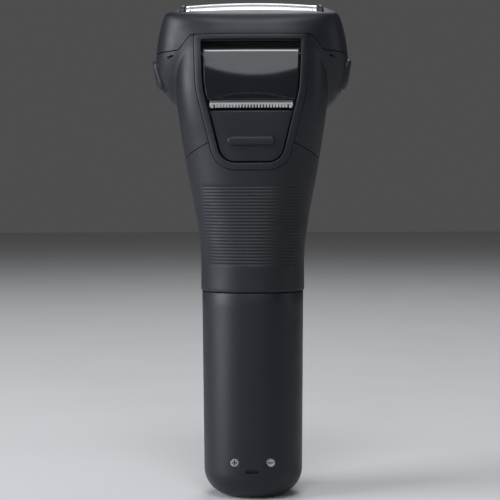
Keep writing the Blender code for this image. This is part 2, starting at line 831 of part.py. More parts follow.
def make_power_button():
    """The push button at the front, with a lip inside the wall and a stem to the switch."""
    front = handle_front(BUTTON_HEIGHT)
    lip_radius = BUTTON_RADIUS + 0.9 * MM
    hollow = front - HANDLE_WALL
    square = HANDLE_ROUNDNESS
    inside = hollow * (1 - (lip_radius / hollow) ** square) ** (1 / square) - GAP
    body = body_at("power_button", (0, front, BUTTON_HEIGHT))
    stem_end = SWITCH_TOP + BUTTON_TRAVEL + 0.1 * MM
    profile = [
        (0, front + 0.45 * MM),
        (3.2 * MM, front + 0.35 * MM),
        (4.6 * MM, front),
        (BUTTON_RADIUS, front - 0.6 * MM),
        (BUTTON_RADIUS, inside),
        (lip_radius, inside),
        (lip_radius, inside - 1 * MM),
        (1.5 * MM, inside - 1 * MM),
        (1.5 * MM, stem_end),
        (0, stem_end),
    ]
    button = turned(profile, axis="Y", place=(0, 0, BUTTON_HEIGHT))
    part("power_button", button, "gloss_plastic", body)


# Drive --------------------------------------------------------------------------------------


def make_motor_rotor(motor_top):
    """The motor's shaft and the square dog on its end."""
    body = body_at("motor_rotor", (0, 0, motor_top))
    shaft = rod((0, 0, motor_top - 11.5 * MM), (0, 0, up(DOG_TOP - 1 * MM)), MOTOR_SHAFT_RADIUS, 16)
    part("motor_shaft", shaft, "blade_steel", body)
    dog = box((-DOG_HALF, -DOG_HALF, up(SPIGOT_RISE + 2 * MM)), (DOG_HALF, DOG_HALF, up(DOG_TOP)), 0.3 * MM)
    bore = rod((0, 0, up(0)), (0, 0, up(DOG_TOP - 0.7 * MM)), MOTOR_SHAFT_RADIUS + GAP, 16)
    part("drive_dog", cut(dog, bore), "black_plastic", body)


def make_drive_shaft():
    """The head's shaft, with the socket that takes the dog and the crank wheel on top."""
    body = body_at("drive_shaft", (0, 0, up(COUPLING_BASE)))
    bore = SHAFT_RADIUS + GAP
    shaft_base = DOG_TOP + 1.2 * MM
    cup = rod((0, 0, up(COUPLING_BASE)), (0, 0, up(COUPLING_TOP)), COUPLING_RADIUS)
    half = DOG_HALF + 0.5 * MM
    socket = box((-half, -half, 0), (half, half, up(DOG_TOP + 0.6 * MM)))
    through = rod((0, 0, up(COUPLING_BASE)), (0, 0, up(COUPLING_TOP + 5 * MM)), bore)
    part("shaft_coupling", cut(cup, socket, through), "black_plastic", body)
    shaft = rod((0, 0, up(shaft_base)), (0, 0, up(WHEEL_TOP - 0.9 * MM)), SHAFT_RADIUS, 16)
    part("drive_shaft", shaft, "blade_steel", body)
    wheel = rod((0, 0, up(WHEEL_BASE)), (0, 0, up(WHEEL_TOP)), WHEEL_RADIUS)
    crank = rod(
        (BLADE_THROW, 0, up(WHEEL_TOP - 0.4 * MM)),
        (BLADE_THROW, 0, up(CRANK_PIN_TOP)),
        CRANK_PIN_RADIUS, 16,
    )
    blind = rod((0, 0, up(0)), (0, 0, up(WHEEL_TOP - 0.6 * MM)), bore)
    part("crank_wheel", cut(join(wheel, crank), blind), "black_plastic", body)


def make_shaft_tube(head):
    """The bell and tube that carry the drive shaft, with a bush at each end."""
    bell = COUPLING_RADIUS + 0.6 * MM
    flange = 15.3 * MM
    base = SPIGOT_RISE + 2.9 * MM
    neck = COUPLING_TOP + 1 * MM
    bush_seat = SHAFT_RADIUS + 1.1 * MM
    profile = [
        (bell, neck),
        (bush_seat, neck),
        (bush_seat, TUBE_TOP),
        (TUBE_RADIUS, TUBE_TOP),
        (TUBE_RADIUS, neck + 1.5 * MM),
        (bell + 1.4 * MM, neck + 1.5 * MM),
        (bell + 1.4 * MM, base + 1.5 * MM),
        (flange, base + 1.5 * MM),
        (flange, base),
        (bell, base),
    ]
    part("shaft_tube", turned([(r, up(z)) for r, z in profile]), "inner_plastic", head)
    for name, low in (("lower_bush", neck + 1 * MM), ("upper_bush", TUBE_TOP - 5 * MM)):
        bush = tube(bush_seat - GAP, SHAFT_RADIUS + GAP, up(low), up(low + 4 * MM), 24)
        part(name, bush, "brass", head)


def make_socket_ring(head):
    """The ring in the head's base that slides over the handle's spigot."""
    inner = SPIGOT_RADIUS + SLIDE_GAP
    outer = 15.4 * MM
    top = SPIGOT_RISE + 2.2 * MM
    profile = [
        (outer, top),
        (outer, 0.6 * MM),
        (inner, 0.6 * MM),
        (inner, top - 1.5 * MM),
        (COUPLING_RADIUS + 1 * MM, top - 1.5 * MM),
        (COUPLING_RADIUS + 1 * MM, top),
    ]
    part("socket_ring", turned([(r, up(z)) for r, z in profile], steps=28), "black_plastic", head)


# Head housing -------------------------------------------------------------------------------


def make_housing(head, frame):
    """Grip shell, neck housing and foil frame, cut from one outer form."""
    shell = settled(cut(head_form(), head_form(-HEAD_WALL, 5 * MM, HOLLOW_POINTS)))
    opening = window_block(BEZEL_WIDTH + GAP, TRAY_DEPTH - TRAY_FLOOR, BEZEL_TOP_WIDTH + GAP)
    grip = cut(keep(settled(shell), below_grip_seam(-GAP / 2)), opening)
    part("grip_shell", grip, "grip_rubber", head)
    neck = cut(settled(shell), below_grip_seam(GAP / 2), above_frame_edge(-GAP / 2), opening)
    neck = cut(join(neck, *screw_bosses()), *screw_holes(), *release_holes(), *pry_notches())
    part("neck_housing", neck, "charcoal_plastic", head)
    foil_frame = cut(keep(settled(shell), above_frame_edge(GAP / 2)), foil_opening())
    foil_frame = join(foil_frame, *latch_arms())
    part("foil_frame", foil_frame, "charcoal_plastic", frame)


def screw_places():
    """Where the deck's two screws stand."""
    return [(side * SCREW_SPREAD, SCREW_OFFSET) for side in (-1, 1)]


def screw_bosses():
    """Columns on the neck's sides that carry the deck."""
    top = up(DECK_BASE) - GAP
    return [rod((x, y, up(60 * MM)), (x, y, top), 2.6 * MM) for x, y in screw_places()]


def screw_holes():
    """Blind holes down the columns."""
    radius = SCREW_RADIUS + GAP
    return [
        rod((x, y, up(DECK_BASE - 8 * MM)), (x, y, up(DECK_BASE + 5 * MM)), radius, 16)
        for x, y in screw_places()
    ]


def pry_notches():
    """A short slanted notch under the frame's edge on each cheek."""
    wide, tall = NOTCH_SIZE
    made = []
    for side in (-1, 1):
        notch = box((-wide / 2, -6 * MM, -tall / 2), (wide / 2, 1.2 * MM, tall / 2))
        notch.rotation_euler = (0, side * math.radians(18), 0)
        notch.location = (side * NOTCH_PLACE[0], -cheek_depth(), up(NOTCH_PLACE[1]))
        made.append(notch)
    return made


def cheek_depth():
    """How far back the cheek lies where its notch is."""
    half_width, half_depth, square = DRUM_HALF_WIDTH, DRUM_HALF_DEPTH - 1.3 * MM, 2.8
    return half_depth * (1 - (NOTCH_PLACE[0] / half_width) ** square) ** (1 / square)


def foil_opening():
    """The opening that the foil cassette stands in."""
    x = FOIL_HALF_LENGTH + CASSETTE_END + GAP
    y = cassette_half_depth() + GAP
    return box((-x, -y, up(70 * MM)), (x, y, up(FOIL_CROWN) + REACH))


def cassette_half_depth():
    """Half the cassette's depth: three foils side by side and a thin wall."""
    return FOIL_SPACING + FOIL_RADIUS + SLIDE_GAP + 0.35 * MM


def latch_arms():
    """Arms that hang from the frame's top to the release buttons."""
    outer = RELEASE_INNER - RELEASE_TRAVEL - 0.4 * MM
    made = []
    for side in (-1, 1):
        first, second = sorted((side * outer, side * (outer - LATCH_THICK)))
        made.append(box((first, -4 * MM, up(76 * MM)), (second, 4 * MM, up(96.3 * MM))))
    return made


def make_deck(head):
    """The plate across the neck's top, with its two screws."""
    low, high = up(DECK_BASE), up(DECK_BASE + DECK_THICK)
    deck = box((-DECK_HALF_WIDTH, -DECK_BACK, low), (DECK_HALF_WIDTH, DECK_FRONT, high))
    deck = keep(deck, head_form(-HEAD_WALL - GAP, 0, HOLLOW_POINTS))
    hole = rod((0, 0, low - REACH), (0, 0, high + REACH), DECK_HOLE)
    deck = cut(deck, hole, *screw_holes())
    part("head_deck", deck, "inner_plastic", head)
    for name, (x, y) in zip(("deck_screw_left", "deck_screw_right"), screw_places()):
        head_base = high + GAP
        profile = [
            (0, head_base + 1.3 * MM),
            (1.6 * MM, head_base + 1.3 * MM),
            (2 * MM, head_base + 0.9 * MM),
            (2 * MM, head_base),
            (SCREW_RADIUS, head_base),
            (SCREW_RADIUS, low - 7 * MM),
            (0, low - 7 * MM),
        ]
        part(name, turned(profile, place=(x, y, 0), steps=16), "spring_steel", head)


# Trimmer ------------------------------------------------------------------------------------


def make_bezel(head):
    """The raised band round the trimmer window, which follows the neck's curve."""
    band = window_block(BEZEL_WIDTH, TRAY_DEPTH, BEZEL_TOP_WIDTH)
    band = cut(band, window_block(0, 0))
    skin = cut(head_form(BEZEL_PROUD), head_form(BEZEL_PROUD - BEZEL_THICK))
    part("trimmer_bezel", keep(band, settled(skin)), "charcoal_plastic", head)


def hinge_point():
    """Depth and height of the trimmer's hinge axis."""
    return -HINGE_DEPTH, up(HINGE_HEIGHT)


def hinge_rod(half_length, radius):
    """A rod on the hinge axis."""
    y, z = hinge_point()
    return rod((-half_length, y, z), (half_length, y, z), radius, 16)


def make_tray(head):
    """The pocket behind the window, which holds the hinge pin and guides the slider."""
    reach = window_block(TRAY_WALL, TRAY_DEPTH - TRAY_FLOOR, TRAY_WALL)
    tray = keep(reach, head_form(BEZEL_PROUD - BEZEL_THICK - GAP))
    tray = cut(tray, window_block(0, TRAY_DEPTH))
    pin_half = window_half_width(HINGE_HEIGHT) + 0.6 * MM
    tray = cut(tray, hinge_rod(pin_half + GAP, HINGE_PIN_RADIUS + GAP))
    part("trimmer_tray", tray, "black_plastic", head)
    part("trimmer_hinge_pin", hinge_rod(pin_half, HINGE_PIN_RADIUS), "spring_steel", head)


def make_trimmer_flap(trimmer):
    """The glossy flap, hinged at its top, with a tongue that backs the blades."""
    face = head_form(-FLAP_RECESS)
    inner = head_form(-FLAP_RECESS - FLAP_THICK)
    blank = window_block(-FLAP_GAP, 0)
    span = box((-REACH, -REACH, up(FLAP_BOTTOM)), (REACH, 0, up(HINGE_HEIGHT)))
    skin = cut(settled(face), inner)
    flap = keep(keep(blank, span), settled(skin))
    half = window_half_width(HINGE_HEIGHT) - FLAP_GAP
    knuckle = keep(hinge_rod(half, KNUCKLE_RADIUS), face)
    flap = join(flap, knuckle, blade_tongue())
    flap = cut(flap, hinge_rod(half + REACH, HINGE_PIN_RADIUS + GAP))
    part("trimmer_flap", flap, "gloss_plastic", trimmer)


def blade_tongue():
    """The strip under the flap's edge that backs the cutter."""
    back = COMB_FACE - 2 * COMB_THICK - 2 * GAP
    return box(
        (-COMB_HALF + 0.8 * MM, -back, up(COMB_TIP + 1.5 * MM)),
        (COMB_HALF - 0.8 * MM, -back + 1.1 * MM, up(FLAP_BOTTOM + 3 * MM)),
    )


def toothed_strip(half, tip, top, count):
    """Outline of a blade with pointed teeth along its lower edge."""
    pitch = 2 * half / count
    outline = [(-half, top)]
    for index in range(count):
        x = -half + pitch * index
        outline += [
            (x + 0.12 * pitch, tip + TOOTH_LENGTH),
            (x + 0.34 * pitch, tip),
            (x + 0.66 * pitch, tip),
            (x + 0.88 * pitch, tip + TOOTH_LENGTH),
        ]
    return outline + [(half, top)]


def make_blades(trimmer, cutter_body):
    """The trimmer's fixed comb and the cutter that slides behind it."""
    comb = toothed_strip(COMB_HALF, up(COMB_TIP), up(COMB_TOP), TOOTH_COUNT)
    part(
        "trimmer_comb",
        slab(comb, -COMB_FACE, -COMB_FACE + COMB_THICK),
        "blade_steel",
        trimmer,
    )
    half = COMB_HALF - CUTTER_THROW - 1.2 * MM
    cutter = toothed_strip(half, up(COMB_TIP + 0.25 * MM), up(COMB_TOP), TOOTH_COUNT - 2)
    face = COMB_FACE - COMB_THICK - GAP
    part("trimmer_cutter", slab(cutter, -face, -face + COMB_THICK), "blade_steel", cutter_body)


def make_slider(slider):
    """The panel under the blades with a thumb ridge, and its foot on the tray's floor."""
    blank = window_block(-SLIDER_GAP, 0)
    span = box((-REACH, -REACH, 0), (REACH, 0, up(SLIDER_TOP)))
    skin = cut(head_form(-SLIDER_RECESS), head_form(-SLIDER_RECESS - SLIDER_THICK))
    panel = keep(keep(blank, span), settled(skin))
    wide, tall, rise = RIDGE
    depth = back_depth(RIDGE_HEIGHT) - SLIDER_RECESS
    low, high = up(RIDGE_HEIGHT) - tall / 2, up(RIDGE_HEIGHT) + tall / 2
    pill = [
        (x, z, tall / 2 - 0.01 * MM)
        for x, z in ((-wide / 2, high), (-wide / 2, low), (wide / 2, low), (wide / 2, high))
    ]
    ridge = slab(rounded(pill), -depth - rise, -depth + 0.8 * MM)
    foot = box(
        (-4 * MM, -depth + 0.9 * MM, up(RIDGE_HEIGHT - 4 * MM)),
        (4 * MM, -TRAY_DEPTH - GAP, up(RIDGE_HEIGHT + 5 * MM)),
    )
    part("trimmer_slider", join(panel, ridge, foot), "charcoal_plastic", slider)


# Release buttons ----------------------------------------------------------------------------


def release_outline(grow):
    """A release button's outline seen from the side."""
    y = RELEASE_HALF_DEPTH + grow
    low, high = up(RELEASE_BASE) - grow, up(RELEASE_TOP) + grow
    radius = RELEASE_CORNER + grow
    return rounded([(-y, high, radius), (-y, low, radius), (y, low, radius), (y, high, radius)])


def side_block(grow, side, inner):
    """A release button's outline as a block from inside the head outwards."""
    start, end = sorted((side * inner, side * REACH))
    return slab(release_outline(grow), start, end, axis="X")


def release_holes():
    """The holes in the neck's sides for the release buttons."""
    return [side_block(GAP, side, RELEASE_INNER - 4 * MM) for side in (-1, 1)]


def make_release_buttons():
    """A button each side, whose lip behind the wall keeps it in."""
    for name, side in (("release_button_left", -1), ("release_button_right", 1)):
        body = body_at(name, (side * DRUM_HALF_WIDTH, 0, up((RELEASE_BASE + RELEASE_TOP) / 2)))
        cap = keep(side_block(0, side, RELEASE_INNER), head_form(RELEASE_PROUD))
        room = head_form(-HEAD_WALL - GAP, 0, HOLLOW_POINTS)
        lip = keep(side_block(RELEASE_LIP, side, RELEASE_INNER), room)
        part(name, join(cap, lip), "charcoal_plastic", body)


# Foils and blades ---------------------------------------------------------------------------


def bow(x):
    """How far a foil lies below its crown at x."""
    return FOIL_BOW * (x / FOIL_HALF_LENGTH) ** 2


def arch(x, y, radius, foot, solid_radius=0.0):
    """One section of a foil or blade: legs and a half round, with the hollow if it has one."""
    middle = up(FOIL_CROWN) - FOIL_RADIUS - bow(x)
    turns = [math.pi * step / 8 for step in range(9)]
    outer = [(x, y + radius * math.cos(t), middle + radius * math.sin(t)) for t in turns]
    outer = [(x, y + radius, foot), *outer, (x, y - radius, foot)]
    if not solid_radius:
        return outer
    inner = [
        (x, y - solid_radius * math.cos(t), middle + solid_radius * math.sin(t)) for t in turns
    ]
    return [*outer, (x, y - solid_radius, foot), *inner, (x, y + solid_radius, foot)]


def swept_arch(half_length, y, radius, foot, solid_radius=0.0, parts=6):
    """A foil or blade along X."""
    places = [half_length * (2 * step / parts - 1) for step in range(parts + 1)]
    return loft([arch(x, y, radius, foot, solid_radius) for x in places])


def row_names():
    """Name and depth of each of the three cutting rows."""
    return (("rear", -FOIL_SPACING), ("centre", 0.0), ("front", FOIL_SPACING))


def make_foil(name, y):
    """A foil, free to sink into the cassette."""
    body = body_at("foil_" + name, (0, y, up(FOIL_CROWN)))
    foil = swept_arch(FOIL_HALF_LENGTH, y, FOIL_RADIUS, up(FOIL_FOOT), FOIL_RADIUS - FOIL_THICK)
    part("foil_" + name, foil, "blade_steel", body)


def make_inner_blade(name, y, oscillator):
    """The blade under a foil, and the spring that lifts both."""
    body = body_at("inner_blade_" + name, (0, y, up(BLADE_FOOT)))
    half = FOIL_HALF_LENGTH - BLADE_THROW - 0.8 * MM
    blade = swept_arch(half, y, FOIL_RADIUS - FOIL_THICK - SLIDE_GAP, up(BLADE_FOOT))
    hole = rod((0, y, up(BLADE_FOOT) - REACH), (0, y, up(BLADE_FOOT + 2.5 * MM)), 1.7 * MM, 16)
    part("inner_blade_" + name, cut(blade, hole), "blade_steel", body)
    base = BRIDGE_TOP + GAP
    spring = coil(
        (0, y, up(base)), SPRING_TOP - base, SPRING_RADIUS, SPRING_WIRE, SPRING_TURNS
    )
    part("blade_spring_" + name, spring, "spring_steel", oscillator)


def make_cassette(frame):
    """The frame that holds the foils, with a raised bar at each end."""
    x, y = FOIL_HALF_LENGTH + CASSETTE_END, cassette_half_depth()
    cassette = box((-x, -y, up(CASSETTE_BASE)), (x, y, up(CASSETTE_TOP)))
    for side in (-1, 1):
        ends = sorted((side * x, side * (x - NUB_WIDTH)))
        for _, middle in row_names():
            cassette = join(cassette, end_nub(ends, middle))
    slot_x, slot_y = FOIL_HALF_LENGTH + SLIDE_GAP, FOIL_RADIUS + SLIDE_GAP
    for _, middle in row_names():
        slot = box(
            (-slot_x, middle - slot_y, up(CASSETTE_BASE) - REACH),
            (slot_x, middle + slot_y, up(CASSETTE_TOP) + REACH),
        )
        cassette = cut(cassette, slot)
    part("foil_cassette", cassette, "black_plastic", frame)


def end_nub(ends, middle):
    """A round-topped nub that closes the end of one foil."""
    low, high = up(CASSETTE_TOP) - 1 * MM, up(NUB_TOP)
    outline = [
        (middle - NUB_RADIUS, high, NUB_RADIUS * 0.9),
        (middle - NUB_RADIUS, low, 0),
        (middle + NUB_RADIUS, low, 0),
        (middle + NUB_RADIUS, high, NUB_RADIUS * 0.9),
    ]
    return slab(rounded(outline), *ends, axis="X")


def make_bridge(oscillator):
    """The carrier that shuttles the inner blades, on four legs, with the crank's ring below."""
    plate = box(
        (-14 * MM, -11.3 * MM, up(BRIDGE_BASE)), (14 * MM, 11.3 * MM, up(BRIDGE_TOP)), 0.6 * MM
    )
    legs = [
        box(
            (x - 1 * MM, y - 2 * MM, up(DECK_BASE + DECK_THICK) + GAP),
            (x + 1 * MM, y + 2 * MM, up(BRIDGE_BASE + 1 * MM)),
        )
        for x in (-12.5 * MM, 12.5 * MM)
        for y in (-8 * MM, 8 * MM)
    ]
    ring_base = up(WHEEL_TOP) + 0.8 * MM
    room = CRANK_PIN_RADIUS + 2 * BLADE_THROW + GAP
    ring = tube(room + 1.4 * MM, room, ring_base, up(CRANK_PIN_TOP), 24)
    stems = [
        box((-1.2 * MM, y - 0.6 * MM, ring_base), (1.2 * MM, y + 0.6 * MM, up(BRIDGE_BASE + 1 * MM)))
        for y in (-room - 0.75 * MM, room + 0.75 * MM)
    ]
    posts = [
        rod((0, y, up(BRIDGE_TOP - 1 * MM)), (0, y, up(BLADE_FOOT - 0.5 * MM)), 1.2 * MM, 16)
        for _, y in row_names()
    ]
    bridge = join(plate, *legs, *stems, ring, *posts)
    part("oscillator_bridge", bridge, "inner_plastic", oscillator)


def build():
    """Make every body and its parts."""
    handle = body_at("handle")
    make_handle_shell(handle)
    make_coupling_collar(handle)
    motor_top = make_power_pack(handle)
    make_contacts(handle)
    make_power_button()
    make_motor_rotor(motor_top)
    head = body_at("head_unit", (0, 0, up(0)))
    frame = body_at("foil_frame", (0, 0, up(FRAME_EDGE)))
    make_socket_ring(head)
    make_housing(head, frame)
    make_shaft_tube(head)
    make_drive_shaft()
    make_deck(head)
    make_bezel(head)
    make_tray(head)
    trimmer = body_at("trimmer", (0, *hinge_point()))
    make_trimmer_flap(trimmer)
    make_blades(trimmer, body_at("trimmer_cutter", (0, -COMB_FACE, up(COMB_TOP))))
    make_slider(body_at("trimmer_slider", (0, -back_depth(RIDGE_HEIGHT), up(RIDGE_HEIGHT))))
    make_release_buttons()
    oscillator = body_at("oscillator", (0, 0, up(BRIDGE_BASE)))
    make_bridge(oscillator)
    make_cassette(frame)
    for name, y in row_names():
        make_foil(name, y)
        make_inner_blade(name, y, oscillator)


clear_scene()
PARTS = new_collection("electric_shaver")
HELPERS = new_collection("helpers")
build()
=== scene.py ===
"""Cordless foil shaver: its casings, foils, trimmer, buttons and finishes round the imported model.

Metres, +Z up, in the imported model's frame: the trimmer side faces -Y and the power button +Y.
Heights in the head count up from the joint between the handle and the head.
"""

import logging
import math
from collections.abc import Callable, Iterable, Sequence
from dataclasses import dataclass, field
from enum import Enum

import bmesh
import bpy
import numpy as np
from mathutils import Matrix, Vector


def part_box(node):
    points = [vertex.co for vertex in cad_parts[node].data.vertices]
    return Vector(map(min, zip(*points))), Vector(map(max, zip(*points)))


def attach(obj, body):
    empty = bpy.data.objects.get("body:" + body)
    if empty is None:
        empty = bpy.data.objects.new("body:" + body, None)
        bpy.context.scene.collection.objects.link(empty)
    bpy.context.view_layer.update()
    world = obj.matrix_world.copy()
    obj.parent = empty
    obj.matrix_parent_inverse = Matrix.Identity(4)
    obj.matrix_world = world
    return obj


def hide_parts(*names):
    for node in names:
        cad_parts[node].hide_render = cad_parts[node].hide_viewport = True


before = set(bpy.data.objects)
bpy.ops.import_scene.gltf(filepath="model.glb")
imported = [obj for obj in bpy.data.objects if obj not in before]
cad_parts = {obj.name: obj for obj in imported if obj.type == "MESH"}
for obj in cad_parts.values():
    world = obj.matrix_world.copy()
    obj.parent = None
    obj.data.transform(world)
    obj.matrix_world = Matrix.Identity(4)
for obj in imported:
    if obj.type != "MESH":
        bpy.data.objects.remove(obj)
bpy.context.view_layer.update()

log = logging.getLogger("shaver")
Point = tuple[float, float, float]
Outline = list[tuple[float, float]]

MM = 0.001
REACH = 60 * MM  # longer than any wall, for cutting blocks
GAP = 0.3 * MM  # between neighbouring casings
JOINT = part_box("handle_shell")[1].z  # where handle and head meet


def up(height: float) -> float:
    """A height in the head as a height above the base."""
    return JOINT + height


# Shader graphs ------------------------------------------------------------------------------


class Graph:
    """A shader node tree, with short ways to add nodes and join them."""

    def __init__(self, tree: bpy.types.NodeTree) -> None:
        """Wrap a tree.

        Args:
            tree: the node tree to build in.
        """
        self.tree = tree

    def add(self, kind: str, values: dict | None = None, **settings: object) -> bpy.types.Node:
        """Add a node.

        Args:
            kind: the node's type without its ShaderNode prefix.
            values: inputs by name or number, each a constant or an output to join.
            settings: properties of the node.

        Returns:
            The new node.
        """
        node = self.tree.nodes.new("ShaderNode" + kind)
        for name, value in settings.items():
            setattr(node, name, value)
        for name, value in (values or {}).items():
            if isinstance(value, bpy.types.NodeSocket):
                self.tree.links.new(value, node.inputs[name])
            else:
                node.inputs[name].default_value = value
        return node

    def math(self, operation: str, *values: object, clamp: bool = False) -> bpy.types.NodeSocket:
        """A Math node's result.

        Args:
            operation: the Math node's operation.
            values: its inputs in order.
            clamp: whether the result stays between 0 and 1.

        Returns:
            The result's socket.
        """
        node = self.add("Math", dict(enumerate(values)), operation=operation, use_clamp=clamp)
        return node.outputs[0]

    def ramp(self, value: bpy.types.NodeSocket, low: float, high: float) -> bpy.types.NodeSocket:
        """A smooth step from 0 at low to 1 at high.

        Args:
            value: the value to map.
            low: where the step starts.
            high: where it ends.

        Returns:
            The result's socket.
        """
        values = {"Value": value, "From Min": low, "From Max": high}
        return self.add("MapRange", values, interpolation_type="SMOOTHSTEP").outputs["Result"]

    def mix(self, share: object, first: object, second: object) -> bpy.types.NodeSocket:
        """Two colours mixed.

        Args:
            share: how much of the second shows.
            first: a colour or a colour output.
            second: a colour or a colour output.

        Returns:
            The mixed colour's socket.
        """
        node = self.add("Mix", {0: share, 6: first, 7: second}, data_type="RGBA")
        return node.outputs[2]


class Socket(Enum):
    """The kinds of socket that the effect groups use."""

    VALUE = "NodeSocketFloat"


class Effects:
    """The node groups that the finishes share, each built once."""

    def __init__(self) -> None:
        """Build the groups."""
        self.grain = self._group("moulded_grain", ("Scale", "Softness"), self._build_grain)
        self.wear = self._group("worn_edges", ("Radius", "Strength"), self._build_wear)
        self.marks = self._group("handling_marks", ("Scale", "Strength"), self._build_marks)
        self.brushed = self._group("brushed_lines", ("Along", "Across", "Upward"), self._build_brushed)

    @staticmethod
    def _group(name: str, inputs: Sequence[str], build: Callable[..., None]) -> bpy.types.NodeTree:
        """A node group with value inputs and the outputs Mask and Height.

        Args:
            name: the group's name.
            inputs: names of its inputs.
            build: fills the group in, from its graph, its input node and its output node.

        Returns:
            The group.
        """
        tree = bpy.data.node_groups.new(name, "ShaderNodeTree")
        for label in inputs:
            tree.interface.new_socket(label, in_out="INPUT", socket_type=Socket.VALUE.value)
        for label in ("Mask", "Height"):
            tree.interface.new_socket(label, in_out="OUTPUT", socket_type=Socket.VALUE.value)
        source = tree.nodes.new("NodeGroupInput")
        result = tree.nodes.new("NodeGroupOutput")
        build(Graph(tree), source.outputs, result.inputs)
        return tree

    @staticmethod
    def _build_grain(graph: Graph, given: object, result: object) -> None:
        """Fine pebbling from the mould, with a slower drift over it.

        Args:
            graph: the group's graph.
            given: the group's inputs.
            result: the group's outputs.
        """
        place = graph.add("TexCoord").outputs["Object"]
        fine = graph.add("TexNoise", {"Vector": place, "Scale": given["Scale"], "Detail": 3.0})
        cells = graph.add(
            "TexVoronoi",
            {"Vector": place, "Scale": given["Scale"], "Smoothness": given["Softness"]},
            feature="SMOOTH_F1",
        )
        drift = graph.add("TexNoise", {"Vector": place, "Scale": 90.0, "Detail": 2.0})
        pebbles = graph.math("SUBTRACT", 1.0, cells.outputs["Distance"])
        height = graph.math("MULTIPLY_ADD", fine.outputs["Fac"], 0.5, pebbles)
        mask = graph.math("MULTIPLY_ADD", drift.outputs["Fac"], 0.5, graph.math("MULTIPLY", height, 0.4))
        graph.tree.links.new(mask, result["Mask"])
        graph.tree.links.new(height, result["Height"])

    @staticmethod
    def _build_wear(graph: Graph, given: object, result: object) -> None:
        """A mask of edges rubbed by hands, broken up by noise.

        Args:
            graph: the group's graph.
            given: the group's inputs.
            result: the group's outputs.
        """
        rounded = graph.add("Bevel", {"Radius": given["Radius"]}, samples=4)
        flat = graph.add("NewGeometry").outputs["Normal"]
        facing = graph.add("VectorMath", {0: rounded.outputs[0], 1: flat}, operation="DOT_PRODUCT")
        edge = graph.ramp(graph.math("SUBTRACT", 1.0, facing.outputs["Value"]), 0.01, 0.22)
        place = graph.add("TexCoord").outputs["Object"]
        broken = graph.add("TexNoise", {"Vector": place, "Scale": 420.0, "Detail": 4.0})
        mask = graph.math("MULTIPLY", edge, graph.ramp(broken.outputs["Fac"], 0.35, 0.7))
        mask = graph.math("MULTIPLY", mask, given["Strength"], clamp=True)
        graph.tree.links.new(mask, result["Mask"])
        graph.tree.links.new(edge, result["Height"])

    @staticmethod
    def _build_marks(graph: Graph, given: object, result: object) -> None:
        """Smudges from fingers as a mask, and faint hairlines as a height.

        Args:
            graph: the group's graph.
            given: the group's inputs.
            result: the group's outputs.
        """
        place = graph.add("TexCoord").outputs["Object"]
        cloud = graph.add(
            "TexNoise",
            {"Vector": place, "Scale": given["Scale"], "Detail": 5.0, "Distortion": 0.8},
        )
        smudge = graph.math("MULTIPLY", graph.ramp(cloud.outputs["Fac"], 0.42, 0.75), given["Strength"])
        turned_place = graph.add("Mapping", {"Vector": place, "Rotation": (0.3, 0.5, 0.7)})
        hair = graph.add(
            "TexWave",
            {"Vector": turned_place.outputs[0], "Scale": 130.0, "Distortion": 22.0, "Detail": 3.0},
        )
        scratch = graph.math("MULTIPLY", graph.ramp(hair.outputs["Fac"], 0.985, 1.0), given["Strength"])
        graph.tree.links.new(smudge, result["Mask"])
        graph.tree.links.new(scratch, result["Height"])

    @staticmethod
    def _build_brushed(graph: Graph, given: object, result: object) -> None:
        """Fine lines left by grinding, stretched by the three scales.

        Args:
            graph: the group's graph.
            given: the group's inputs.
            result: the group's outputs.
        """
        place = graph.add("TexCoord").outputs["Object"]
        stretch = graph.add("CombineXYZ", {0: given["Along"], 1: given["Across"], 2: given["Upward"]})
        mapped = graph.add("VectorMath", {0: place, 1: stretch.outputs[0]}, operation="MULTIPLY")
        lines = graph.add("TexNoise", {"Vector": mapped.outputs[0], "Scale": 1.0, "Detail": 4.0})
        mask = graph.ramp(lines.outputs["Fac"], 0.3, 0.7)
        graph.tree.links.new(mask, result["Mask"])
        graph.tree.links.new(lines.outputs["Fac"], result["Height"])


# Finishes -----------------------------------------------------------------------------------


